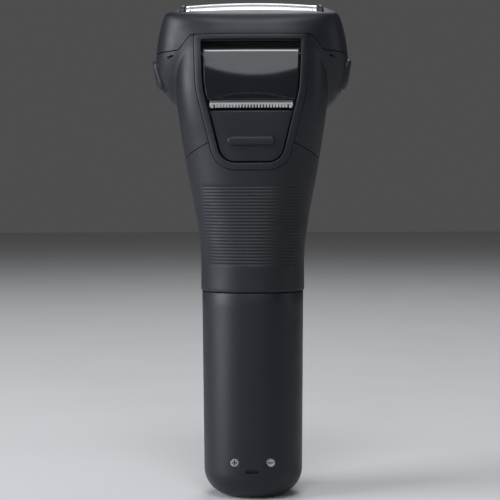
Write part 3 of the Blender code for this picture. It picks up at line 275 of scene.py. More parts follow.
@dataclass(frozen=True)
class Moulded:
    """A moulded plastic or rubber: grain, smudges and rubbed edges."""

    name: str
    colour: Point
    worn: Point
    roughness: float
    grain_scale: float = 2600.0
    grain_depth: float = 0.00002
    smudge: float = 0.10
    wear: float = 0.6
    coat: float = 0.0
    edge_radius: float = 0.00022
    shine: float = 0.5
    mottle: float = 0.10

    def build(self, effects: Effects) -> bpy.types.Material:
        """Build the material.

        Args:
            effects: the shared node groups.

        Returns:
            The material.
        """
        made = bpy.data.materials.new(self.name)
        made.use_nodes = True
        graph = Graph(made.node_tree)
        shader = made.node_tree.nodes["Principled BSDF"]
        grain = graph.add("Group", node_tree=effects.grain)
        grain.inputs["Scale"].default_value = self.grain_scale
        grain.inputs["Softness"].default_value = 0.5
        wear = graph.add("Group", node_tree=effects.wear)
        wear.inputs["Radius"].default_value = self.edge_radius * 1.6
        wear.inputs["Strength"].default_value = self.wear
        marks = graph.add("Group", node_tree=effects.marks)
        marks.inputs["Scale"].default_value = 60.0
        marks.inputs["Strength"].default_value = self.smudge
        dark = (*(0.82 * part for part in self.colour), 1)
        light = (*(1.18 * part for part in self.colour), 1)
        base = graph.mix(grain.outputs["Mask"], dark, light)
        base = graph.mix(wear.outputs["Mask"], base, (*self.worn, 1))
        rough = graph.math("ADD", self.roughness, marks.outputs["Mask"])
        rough = graph.math("MULTIPLY_ADD", grain.outputs["Mask"], self.mottle, rough, clamp=True)
        height = graph.math("SUBTRACT", grain.outputs["Height"], marks.outputs["Height"])
        rounded = graph.add("Bevel", {"Radius": self.edge_radius}, samples=4)
        bump = graph.add("Bump", {"Height": height, "Distance": self.grain_depth})
        graph.tree.links.new(rounded.outputs[0], bump.inputs["Normal"])
        graph.tree.links.new(base, shader.inputs["Base Color"])
        graph.tree.links.new(rough, shader.inputs["Roughness"])
        graph.tree.links.new(bump.outputs[0], shader.inputs["Normal"])
        shader.inputs["Specular IOR Level"].default_value = self.shine
        shader.inputs["Coat Weight"].default_value = self.coat
        shader.inputs["Coat Roughness"].default_value = 0.08
        return made


@dataclass(frozen=True)
class Metal:
    """A metal with grinding lines along one way and a little tarnish."""

    name: str
    colour: Point
    tarnish: Point
    roughness: float
    lines: Point = (60.0, 9000.0, 9000.0)
    line_depth: float = 0.000004
    edge_radius: float = 0.00008

    def build(self, effects: Effects) -> bpy.types.Material:
        """Build the material.

        Args:
            effects: the shared node groups.

        Returns:
            The material.
        """
        made = bpy.data.materials.new(self.name)
        made.use_nodes = True
        graph = Graph(made.node_tree)
        shader = made.node_tree.nodes["Principled BSDF"]
        brushed = graph.add("Group", node_tree=effects.brushed)
        for label, value in zip(("Along", "Across", "Upward"), self.lines):
            brushed.inputs[label].default_value = value
        marks = graph.add("Group", node_tree=effects.marks)
        marks.inputs["Scale"].default_value = 150.0
        marks.inputs["Strength"].default_value = 0.35
        base = graph.mix(marks.outputs["Mask"], (*self.colour, 1), (*self.tarnish, 1))
        rough = graph.math("MULTIPLY_ADD", brushed.outputs["Mask"], 0.12, self.roughness)
        rough = graph.math("MULTIPLY_ADD", marks.outputs["Mask"], 0.25, rough, clamp=True)
        rounded = graph.add("Bevel", {"Radius": self.edge_radius}, samples=4)
        bump = graph.add("Bump", {"Height": brushed.outputs["Height"], "Distance": self.line_depth})
        graph.tree.links.new(rounded.outputs[0], bump.inputs["Normal"])
        graph.tree.links.new(base, shader.inputs["Base Color"])
        graph.tree.links.new(rough, shader.inputs["Roughness"])
        graph.tree.links.new(bump.outputs[0], shader.inputs["Normal"])
        shader.inputs["Metallic"].default_value = 1.0
        return made


class Slot(Enum):
    """The record's material slots."""

    CHARCOAL = "charcoal_plastic"
    GRIP = "grip_rubber"
    GLOSS = "gloss_plastic"
    BLACK = "black_plastic"
    INNER = "inner_plastic"
    STEEL = "blade_steel"
    CONTACT = "contact_metal"
    SPRING = "spring_steel"
    BRASS = "brass"
    CELL = "cell_wrap"
    BOARD = "board_green"
    SEAL = "seal_rubber"
    LAMP = "lamp_plastic"


FINISHES: dict[Slot, Moulded | Metal] = {
    Slot.CHARCOAL: Moulded(
        "charcoal_moulding", (0.0058, 0.0070, 0.0122), (0.036, 0.038, 0.048), 0.37, shine=0.36
    ),
    Slot.GRIP: Moulded(
        "grip_moulding", (0.0060, 0.0070, 0.0110), (0.034, 0.036, 0.043), 0.45,
        shine=0.36, grain_depth=0.00003,
    ),
    Slot.GLOSS: Moulded(
        "gloss_moulding", (0.007, 0.008, 0.011), (0.04, 0.04, 0.05), 0.05,
        grain_scale=900.0, grain_depth=0.000001, smudge=0.03, wear=0.2, coat=0.6, mottle=0.015,
    ),
    Slot.BLACK: Moulded("black_moulding", (0.006, 0.006, 0.007), (0.03, 0.03, 0.03), 0.42),
    Slot.INNER: Moulded("inner_moulding", (0.46, 0.46, 0.44), (0.55, 0.55, 0.53), 0.42, wear=0.2),
    Slot.STEEL: Metal("ground_steel", (0.66, 0.67, 0.69), (0.46, 0.46, 0.47), 0.24),
    Slot.CONTACT: Metal("plated_contact", (0.52, 0.51, 0.49), (0.34, 0.32, 0.28), 0.34),
    Slot.SPRING: Metal("spring_wire", (0.58, 0.58, 0.58), (0.35, 0.33, 0.30), 0.28),
    Slot.BRASS: Metal("turned_brass", (0.72, 0.52, 0.24), (0.42, 0.27, 0.12), 0.26),
    Slot.CELL: Moulded("cell_sleeve", (0.03, 0.11, 0.24), (0.2, 0.3, 0.4), 0.32, coat=0.2),
    Slot.BOARD: Moulded("board_laminate", (0.012, 0.11, 0.045), (0.3, 0.3, 0.2), 0.38),
    Slot.SEAL: Moulded("seal_ring", (0.012, 0.012, 0.012), (0.04, 0.04, 0.04), 0.62, wear=0.1),
    Slot.LAMP: Moulded("lamp_lens", (0.42, 0.50, 0.46), (0.6, 0.6, 0.6), 0.16, wear=0.1),
}


# A darker copy of the blade steel for the comb's strip: painted shade where the flap's lip shades it from
# the light.
STRIP_PAINTED_SHADE = Metal("satin_strip", (0.13, 0.135, 0.145), (0.09, 0.09, 0.09), 0.30)


class Finisher:
    """Builds each finish once and puts it on pieces."""

    def __init__(self) -> None:
        """Build the shared effects."""
        self.effects = Effects()
        self.made: dict[Slot, bpy.types.Material] = {}

    def material(self, slot: Slot) -> bpy.types.Material:
        """A slot's material, built on first use.

        Args:
            slot: the record's slot.

        Returns:
            The material.
        """
        if slot not in self.made:
            self.made[slot] = FINISHES[slot].build(self.effects)
        return self.made[slot]

    def piece(
        self, item: bpy.types.Object, name: str, body: str, slot: Slot, nodes: Iterable[str] = (),
        sharp: float = 35.0,
    ) -> bpy.types.Object:
        """Make an object a finished piece of the shaver.

        Args:
            item: the object, in place.
            name: the piece's name.
            body: the CAD body it rides on.
            slot: its finish.
            nodes: the CAD nodes it stands for.
            sharp: edges over this many degrees stay sharp.

        Returns:
            The piece.
        """
        item.name = item.data.name = name
        item.hide_render = False
        item.data.materials.clear()
        item.data.materials.append(self.material(slot))
        item.data.shade_smooth()
        item.data.set_sharp_from_angle(angle=math.radians(sharp))
        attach(item, body)
        if nodes:
            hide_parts(*nodes)
        log.info("%s on %s, %d faces", name, body, len(item.data.polygons))
        return item

    def dress(self, node: str, slot: Slot, rounding: float = 0.0) -> None:
        """Give a CAD node that stays its finish, and round its edges.

        Args:
            node: the CAD node's name.
            slot: its finish.
            rounding: width of the rounding on its edges.
        """
        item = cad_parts[node]
        item.data.materials.clear()
        item.data.materials.append(self.material(slot))
        if rounding:
            bevel = item.modifiers.new("rounded edges", "BEVEL")
            bevel.width = rounding
            bevel.segments = 2
            bevel.limit_method = "ANGLE"
            bevel.angle_limit = math.radians(50)
            bevel.harden_normals = True
        log.info("%s keeps its CAD mesh", node)


# Mesh building ------------------------------------------------------------------------------


def mesh_object(name: str, points: Sequence, faces: Sequence) -> bpy.types.Object:
    """An object from points and faces, with its normals facing out.

    Args:
        name: the mesh's name.
        points: its vertices.
        faces: its faces as vertex numbers.

    Returns:
        The object.
    """
    mesh = bpy.data.meshes.new(name)
    mesh.from_pydata([tuple(point) for point in points], [], [tuple(face) for face in faces])
    shape = bmesh.new()
    shape.from_mesh(mesh)
    bmesh.ops.recalc_face_normals(shape, faces=shape.faces)
    shape.to_mesh(mesh)
    shape.free()
    item = bpy.data.objects.new(name, mesh)
    bpy.context.scene.collection.objects.link(item)
    return item


def loft(rings: Sequence[np.ndarray], ends: bool = True, name: str = "loft") -> bpy.types.Object:
    """A solid through rings of points, all with the same count.

    Args:
        rings: the rings in order.
        ends: True closes both ends with a cap, False joins the last ring to the first.
        name: the mesh's name.

    Returns:
        The object.
    """
    count = len(rings[0])
    points = np.concatenate(rings)
    pairs = list(zip(range(len(rings)), range(1, len(rings))))
    if not ends:
        pairs.append((len(rings) - 1, 0))
    faces = []
    for low, high in pairs:
        for index in range(count):
            after = (index + 1) % count
            a, b = low * count + index, low * count + after
            c, d = high * count + after, high * count + index
            faces += [(a, b, c), (a, c, d)]
    if ends:
        faces.append(range(count))
        faces.append(range((len(rings) - 1) * count, len(rings) * count))
    return mesh_object(name, points, faces)


def prism(outline: Outline, start: float, end: float, axis: str = "Y") -> bpy.types.Object:
    """A flat outline made a solid from start to end along an axis.

    Args:
        outline: (x, z) points along Y, or (y, z) points along X.
        start: where the solid starts along the axis.
        end: where it ends.
        axis: "X" or "Y".

    Returns:
        The object.
    """
    if axis == "Y":
        rings = [np.array([(a, depth, b) for a, b in outline]) for depth in (start, end)]
    else:
        rings = [np.array([(depth, a, b) for a, b in outline]) for depth in (start, end)]
    return loft(rings, name="prism")


def block(low: Point, high: Point) -> bpy.types.Object:
    """A box between two corners.

    Args:
        low: its lowest corner.
        high: its highest corner.

    Returns:
        The object.
    """
    x, z = (low[0], high[0]), (low[2], high[2])
    outline = [(x[0], z[0]), (x[1], z[0]), (x[1], z[1]), (x[0], z[1])]
    return prism(outline, low[1], high[1])


def rod(start: Point, end: Point, radius: float, sides: int = 48) -> bpy.types.Object:
    """A cylinder between two points.

    Args:
        start: the middle of one end.
        end: the middle of the other.
        radius: its radius.
        sides: how many sides it has.

    Returns:
        The object.
    """
    first, last = Vector(start), Vector(end)
    turn = (last - first).to_track_quat("Z", "Y").to_matrix()
    circle = [
        turn @ Vector((radius * math.cos(t), radius * math.sin(t), 0))
        for t in (2 * math.pi * n / sides for n in range(sides))
    ]
    return loft([np.array([place + point for point in circle]) for place in (first, last)], name="rod")


def turned(profile: Outline, place: Point, axis: str = "Z", steps: int = 64) -> bpy.types.Object:
    """A turned solid.

    Args:
        profile: (radius, height) points; a radius of 0 closes an end.
        place: where height 0 of the axis is.
        axis: "Z", or "Y" for heights along +Y.
        steps: how many sides it has.

    Returns:
        The object.
    """
    turns = 2 * np.pi * np.arange(steps) / steps
    closed = profile[0][0] > 0
    rings = []
    for radius, height in profile:
        radius = max(radius, 0.01 * MM)
        across, along, level = radius * np.cos(turns), radius * np.sin(turns), np.full(steps, height)
        ring = (across, along, level) if axis == "Z" else (across, level, -along)
        rings.append(np.stack(ring, 1) + np.array(place))
    return loft(rings, ends=not closed, name="turned")


def combined(item: bpy.types.Object, *steps: tuple[str, bpy.types.Object]) -> bpy.types.Object:
    """An object after cuts, joins and keeps, with their helpers removed.

    Args:
        item: the object to change.
        steps: ("cut", "join" or "keep", helper) in order.

    Returns:
        The same object, with its new mesh.
    """
    operations = {"cut": "DIFFERENCE", "join": "UNION", "keep": "INTERSECT"}
    for word, other in steps:
        modifier = item.modifiers.new(word, "BOOLEAN")
        modifier.operation = operations[word]
        modifier.solver = "EXACT"
        modifier.object = other
    bake_in(item)
    for other in {helper.name for _, helper in steps}:
        bpy.data.objects.remove(bpy.data.objects[other])
    return item


def bake_in(item: bpy.types.Object) -> bpy.types.Object:
    """An object with its modifiers taken into its mesh.

    Args:
        item: the object.

    Returns:
        The same object.
    """
    bpy.context.view_layer.update()
    graph = bpy.context.evaluated_depsgraph_get()
    mesh = bpy.data.meshes.new_from_object(item.evaluated_get(graph))
    item.modifiers.clear()
    item.data = mesh
    return item


def bevelled(item: bpy.types.Object, width: float, segments: int = 3) -> bpy.types.Object:
    """An object with its sharp edges rounded.

    Args:
        item: the object.
        width: the rounding's width.
        segments: how many faces go round it.

    Returns:
        The same object.
    """
    weld = item.modifiers.new("weld", "WELD")
    weld.merge_threshold = 0.000002
    bevel = item.modifiers.new("rounding", "BEVEL")
    bevel.width = width
    bevel.segments = segments
    bevel.limit_method = "ANGLE"
    bevel.angle_limit = math.radians(40)
    return bake_in(item)


# Outlines -----------------------------------------------------------------------------------


def rounded(corners: Sequence[Point], step: float = math.radians(6)) -> Outline:
    """Points round a closed outline with rounded corners.

    Args:
        corners: (across, height, radius) corners in order.
        step: the turn between two points of a rounding.

    Returns:
        The outline.
    """
    points = []
    for index, (across, height, radius) in enumerate(corners):
        corner = Vector((across, height))
        before = Vector(corners[index - 1][:2]) - corner
        after = Vector(corners[(index + 1) % len(corners)][:2]) - corner
        if radius <= 0:
            points.append(tuple(corner))
            continue
        before.normalize()
        after.normalize()
        half = before.angle(after) / 2
        middle = corner + (before + after).normalized() * radius / math.sin(half)
        start = corner + before * radius / math.tan(half) - middle
        sweep = (math.pi - 2 * half) * (1 if before.cross(after) < 0 else -1)
        count = max(2, math.ceil(abs(sweep) / step))
        for part in range(count + 1):
            points.append(tuple(middle + Matrix.Rotation(sweep * part / count, 2) @ start))
    return points


def oblong(wide: float, tall: float, radius: float, middle: tuple[float, float] = (0.0, 0.0)) -> Outline:
    """A rectangle with rounded corners.

    Args:
        wide: half its width.
        tall: half its height.
        radius: of its corners.
        middle: its middle.

    Returns:
        The outline.
    """
    across, level = middle
    sides = ((-wide, tall), (-wide, -tall), (wide, -tall), (wide, tall))
    return rounded([(across + a, level + b, radius) for a, b in sides])


def soft_edge(soft: float, rise: float, turns: Sequence[float]) -> Outline:
    """Steps round the soft edge of a raised form.

    Args:
        soft: the edge's radius.
        rise: how high the form stands.
        turns: how far round the edge each step lies.

    Returns:
        An (inset, rise) pair for each step.
    """
    return [(soft * (1 - math.cos(t)), rise - soft * (1 - math.sin(t))) for t in turns]


def grown(corners: Sequence[Point], by: float) -> list[Point]:
    """The corners of an outline with every side moved out.

    Args:
        corners: (across, height, radius) corners in order.
        by: how far the sides move out.

    Returns:
        The new corners.
    """
    made = []
    for index, (across, height, radius) in enumerate(corners):
        corner = Vector((across, height))
        before = (corner - Vector(corners[index - 1][:2])).normalized()
        after = (Vector(corners[(index + 1) % len(corners)][:2]) - corner).normalized()
        outward_before = Vector((before.y, -before.x))
        outward_after = Vector((after.y, -after.x))
        shift = (outward_before + outward_after) / (1 + outward_before.dot(outward_after))
        moved = corner + shift * by
        outer = before.cross(after) > 0
        made.append((moved.x, moved.y, max(0.0, radius + (by if outer else -by))))
    return made


def smoothed(value: np.ndarray | float, low: float, high: float) -> np.ndarray:
    """A smooth step from 0 at low to 1 at high.

    Args:
        value: the values to map.
        low: where the step starts.
        high: where it ends.

    Returns:
        The steps.
    """
    share = np.clip((value - low) / (high - low), 0, 1)
    return share * share * (3 - 2 * share)


# The shaver's form --------------------------------------------------------------------------


@dataclass
class HandleForm:
    """The power handle's outside: a squarish oval that tapers to a rounded base."""

    half_width: float = 17.55 * MM
    half_depth: float = 17.3 * MM
    taper: float = 0.55 * MM
    corner: float = 9.3 * MM
    roundness: float = 2.15
    points: int = 240

    def ring(self, height: float, inset: float) -> np.ndarray:
        """The outline at a height.

        Args:
            height: above the base.
            inset: how far it lies inside the handle's side.

        Returns:
            The ring's points.
        """
        turns = 2 * np.pi * (np.arange(self.points) + 0.5) / self.points
        slim = inset + self.taper * (1 - height / JOINT)
        wide, deep = self.half_width - slim, self.half_depth - slim
        share = np.abs(np.cos(turns) / wide) ** self.roundness
        share += np.abs(np.sin(turns) / deep) ** self.roundness
        reach = share ** (-1 / self.roundness)
        level = np.full(self.points, height)
        return np.stack((reach * np.cos(turns), reach * np.sin(turns), level), 1)

    def wall(self, thick: float, lip: float = 0.25 * MM) -> bpy.types.Object:
        """The open-topped case.

        Args:
            thick: the wall's thickness.
            lip: the rounding along its upper edge.

        Returns:
            The object.
        """
        rings = []
        for inset, way in ((0.0, 1), (thick, -1)):
            round_off = self.corner - inset
            side = [
                (inset + round_off * (1 - math.cos(t)), self.corner - round_off * math.sin(t))
                for t in np.linspace(0, math.pi / 2, 20)
            ]
            side += [(z, inset) for z in np.linspace(self.corner, JOINT - lip, 14)[1:]]
            if not inset:
                side += [(JOINT - lip * 0.3, lip * 0.3), (JOINT, lip)]
            else:
                side.append((JOINT, inset))
            rings += side[::way]
        outside = [self.ring(height, inset) for height, inset in rings]
        return loft(outside, name="handle_wall")

    def front(self, height: float) -> float:
        """The half depth at a height above the rounded base.

        Args:
            height: above the base.

        Returns:
            The half depth.
        """
        return self.half_depth - self.taper * (1 - height / JOINT)


NECK_STATIONS = (
    (0.3, 17.9, 17.6, 17.6, 2.2),
    (12, 17.95, 17.75, 17.6, 2.2),
    (21, 18.85, 18.1, 17.8, 2.25),
    (31, 20.5, 18.8, 18.0, 2.35),
    (41, 22.4, 19.4, 18.4, 2.5),
    (51, 24.0, 20.1, 18.9, 2.8),
    (60, 25.3, 20.7, 19.5, 3.4),
    (69, 26.1, 21.0, 20.0, 3.9),
    (77, 26.0, 20.8, 20.0, 4.0),
    (84, 25.0, 20.0, 19.4, 4.0),
    (88, 23.6, 18.0, 17.6, 4.0),
    (92, 20.5, 14.0, 14.0, 4.0),
)  # height in mm over the joint, half width, back depth, front depth, squareness
DRUM_STATIONS = (
    (62.0, 24.0, 8.5, 8.5, 2.6),
    (64.0, 27.2, 9.6, 9.6, 2.6),
    (67.3, 29.9, 11.5, 11.5, 2.6),
    (70.0, 31.6, 13.2, 13.2, 2.6),
    (74.0, 32.6, 15.6, 15.6, 2.7),
    (79.0, 33.1, 17.8, 17.8, 2.8),
    (83.0, 32.8, 18.8, 18.8, 2.9),
    (87.0, 32.2, 19.1, 19.1, 3.0),
    (91.0, 31.2, 18.5, 18.5, 3.3),
    (93.3, 30.4, 16.9, 16.9, 3.9),
    (94.4, 29.9, 15.3, 15.3, 4.4),
    (95.2, 29.3, 13.5, 13.5, 4.6),
    (96.2, 28.2, 11.5, 11.5, 3.0),
    (97.0, 26.6, 9.5, 9.5, 3.0),
    (97.3, 25.4, 8.5, 8.5, 3.0),
)  # the same for the drum


@dataclass
class HeadForm:
    """The head's outside: a flared neck and a drum, softly joined."""

    crease: float = 0.6 * MM
    crease_top: float = 4.0 * MM
    crease_low: float = 80.0 * MM
    crease_high: float = 88.0 * MM
    points: int = 220
    neck: tuple = NECK_STATIONS
    drum: tuple = DRUM_STATIONS

    @staticmethod
    def _sizes(rows: tuple, height: float) -> list[float] | None:
        """A station's sizes eased to a height.

        Args:
            rows: the stations.
            height: in the head.

        Returns:
            The sizes in metres and the squareness, or None outside the stations.
        """
        level = height / MM
        for index, (low, high) in enumerate(zip(rows, rows[1:])):
            if not low[0] <= level <= high[0]:
                continue
            before, after = rows[max(0, index - 1)], rows[min(len(rows) - 1, index + 2)]
            rise = high[0] - low[0]
            t = (level - low[0]) / rise
            sizes = []
            for a, b, c, d in zip(before[1:], low[1:], high[1:], after[1:]):
                leave = (c - a) / (high[0] - before[0]) * rise
                arrive = (d - b) / (after[0] - low[0]) * rise
                value = b * (2 * t**3 - 3 * t**2 + 1) + leave * (t**3 - 2 * t**2 + t)
                sizes.append(value + c * (3 * t**2 - 2 * t**3) + arrive * (t**3 - t**2))
            return [size * MM for size in sizes[:3]] + [sizes[3]]
        return None

    def reach(self, turns: np.ndarray, height: float) -> np.ndarray:
        """How far the outside reaches in each direction.

        Args:
            turns: directions round the axis.
            height: in the head.

        Returns:
            The distances from the axis.
        """
        found = []
        for rows in (self.neck, self.drum):
            sizes = self._sizes(rows, height)
            if sizes:
                wide, back, front, square = sizes
                deep = np.where(np.sin(turns) > 0, front, back)
                share = np.abs(np.cos(turns) / wide) ** square + np.abs(np.sin(turns) / deep) ** square
                found.append(share ** (-1 / square))
        if len(found) == 1:
            return found[0]
        share = np.clip((height - self.crease_low) / (self.crease_high - self.crease_low), 0, 1)
        soft = self.crease + (self.crease_top - self.crease) * share
        meeting = np.maximum(soft - np.abs(found[0] - found[1]), 0) / soft
        return np.maximum(*found) + meeting * meeting * soft / 4

    def ring(self, height: float, grow: float = 0.0, level: float | None = None) -> np.ndarray:
        """The outline at a height.

        Args:
            height: in the head.
            grow: how far outside the form it lies.
            level: where it is placed, if not at its own height.

        Returns:
            The ring's points.
        """
        turns = 2 * np.pi * (np.arange(self.points) + 0.5) / self.points
        far = self.reach(turns, height) + grow
        place = np.full(self.points, up(height) if level is None else level)
        return np.stack((far * np.cos(turns), far * np.sin(turns), place), 1)

    def solid(self, low: float, high: float, grow: float = 0.0, step: float = 0.8 * MM) -> bpy.types.Object:
        """The form as a solid between two heights.

        Args:
            low: lowest height in the head.
            high: highest height.
            grow: how far the sides move out.
            step: height between rings.

        Returns:
            The object.
        """
        top = self.drum[-1][0] * MM
        heights = np.linspace(low, high, max(2, math.ceil((high - low) / step)))
        rings = []
        for height in heights:
            share = float(np.clip((height - self.crease_high) / (top - self.crease_high), 0, 1))
            rings.append(self.ring(height, grow, up(height) + grow * share))
        return loft(rings, name="head_form")

    def back(self, across: float, height: float) -> float:
        """How far behind the axis the outside lies beside the middle.

        Args:
            across: the place along X.
            height: in the head.

        Returns:
            The depth.
        """
        turns = np.linspace(-math.pi / 2, 0, 181)
        far = self.reach(turns, height)
        return float(np.interp(abs(across), far * np.cos(turns), -far * np.sin(turns)))

    def side(self, along: float, height: float) -> float:
        """How far out the form's side lies beside the middle.

        Args:
            along: the place along Y.
            height: in the head.

        Returns:
            The distance along X.
        """
        turns = np.linspace(0, math.copysign(math.pi / 2, along), 181)
        far = self.reach(turns, height)
        return float(np.interp(abs(along), np.abs(far * np.sin(turns)), far * np.cos(turns)))


# The trimmer window -------------------------------------------------------------------------


@dataclass
class Window:
    """The shield-shaped trimmer window in the head's back."""

    form: HeadForm
    corners: tuple[Point, ...] = ((16.85, 85.2, 0.8), (16.34, 69.3, 30.0), (10.1, 44.0, 6.0))
    band: float = 2.4 * MM
    band_top: float = 1.75 * MM
    seam: float = 0.13 * MM
    top_corner: float = 1.1 * MM
    soft: float = 0.28 * MM

    def outline(self, by: float = 0.0, top: float | None = None) -> list[Point]:
        """The window's corners, grown by a distance.

        Args:
            by: how far the sides move out.
            top: how far the upper side moves out, if not the same.

        Returns:
            Its corners in order.
        """
        right = [(x * MM, up(z * MM), r * MM) for x, z, r in self.corners]
        left = [(-x, z, r) for x, z, r in right]
        made = grown(left + right[::-1], by)
        for index in (0, -1):
            made[index] = (*made[index][:2], min(made[index][2], self.top_corner))
        if top is None:
            return made
        level = right[0][1] + top
        for index, after in ((0, 1), (-1, -2)):
            (x, z, radius), (next_x, next_z, _) = made[index], made[after]
            made[index] = (x + (next_x - x) * (level - z) / (next_z - z), level, radius)
        return made

    def opening(self, by: float, front: float, top: float | None = None) -> bpy.types.Object:
        """The window as a block from behind the shaver to a depth.

        Args:
            by: how far the sides move out.
            front: the depth it ends at.
            top: how far the upper side moves out, if not the same.

        Returns:
            The object.
        """
        return prism(rounded(self.outline(by, top)), -REACH, -front)

    def half_width(self, height: float, inset: float) -> float:
        """Half the window's width at a height, inside an inset.

        Args:
            height: in the head.
            inset: how far in from the window's edge.

        Returns:
            The half width, at least a hair.
        """
        level = up(height)
        path = rounded(self.outline(-inset))
        widest = 0.01 * MM
        for (x0, z0), (x1, z1) in zip(path, path[1:] + path[:1]):
            if min(z0, z1) <= level <= max(z0, z1) and z0 != z1:
                widest = max(widest, abs(x0 + (x1 - x0) * (level - z0) / (z1 - z0)))
        return widest

    def bezel(self, proud: float, thick: float, spacing: float = 1.0 * MM) -> bpy.types.Object:
        """The raised band round the window, following the head's curve.

        Args:
            proud: how far it stands over the head's surface.
            thick: how deep it is.
            spacing: largest distance between two points along it.

        Returns:
            The object.
        """
        near = [(0.0, proud - thick), (0.0, proud - self.soft)]
        near += soft_edge(self.soft, proud, (0.5, 1.0, 1.5))
        steps = near + [(self.band - inset, rise) for inset, rise in near[::-1]]
        first = rounded(self.outline(0.0, 0.0))
        counts = [
            max(1, math.ceil(math.dist(a, b) / spacing)) for a, b in zip(first, first[1:] + first[:1])
        ]
        rings = []
        for across, rise in steps:
            path = rounded(self.outline(across, across * self.band_top / self.band))
            ring = []
            for (x0, z0), (x1, z1), count in zip(path, path[1:] + path[:1], counts):
                for part in range(count):
                    x, z = x0 + (x1 - x0) * part / count, z0 + (z1 - z0) * part / count
                    ring.append((x, -self.form.back(x, z - JOINT) - rise, z))
            rings.append(np.array(ring))
        return loft(rings, ends=False, name="bezel")


def panel(
    heights: Sequence[float], half: Callable[[float], float], face: Callable[[float, float], float],
    thick: float, columns: int, edge: float,
) -> bpy.types.Object:
    """A curved panel facing backwards, with softly rounded edges.

    Args:
        heights: heights of its rows in the head, from low to high.
        half: its half width at a height.
        face: depth of its face behind the axis, at a place across and a height.
        thick: its thickness.
        columns: how many columns it has.
        edge: the rounding along its edges.

    Returns:
        The object.
    """
    low, high = heights[0], heights[-1]
    front, behind = [], []
    for height in heights:
        wide = half(height)
        for part in np.linspace(-1, 1, columns):
            across = wide * math.sin(part * math.pi / 2 * 0.999)
            inner = min(wide - abs(across), height - low, high - height)
            drop = edge - math.sqrt(max(0.0, edge**2 - max(0.0, edge - inner) ** 2))
            depth = face(across, height)
            front.append((across, -(depth - drop), up(height)))
            behind.append((across, -(depth - thick), up(height)))
    rows = len(heights)
    base = rows * columns
    faces = []
    for row in range(rows - 1):
        for column in range(columns - 1):
            a = row * columns + column
            b, c, d = a + 1, a + columns + 1, a + columns
            faces += [(a, b, c, d), (base + a, base + d, base + c, base + b)]
    rim = [row * columns for row in range(rows)]
    rim += [(rows - 1) * columns + column for column in range(1, columns)]
    rim += [row * columns + columns - 1 for row in range(rows - 2, -1, -1)]
    rim += list(range(columns - 2, 0, -1))
    faces += [(a, b, base + b, base + a) for a, b in zip(rim, rim[1:] + rim[:1])]
    return mesh_object("panel", front + behind, faces)


# Sub-assemblies -----------------------------------------------------------------------------


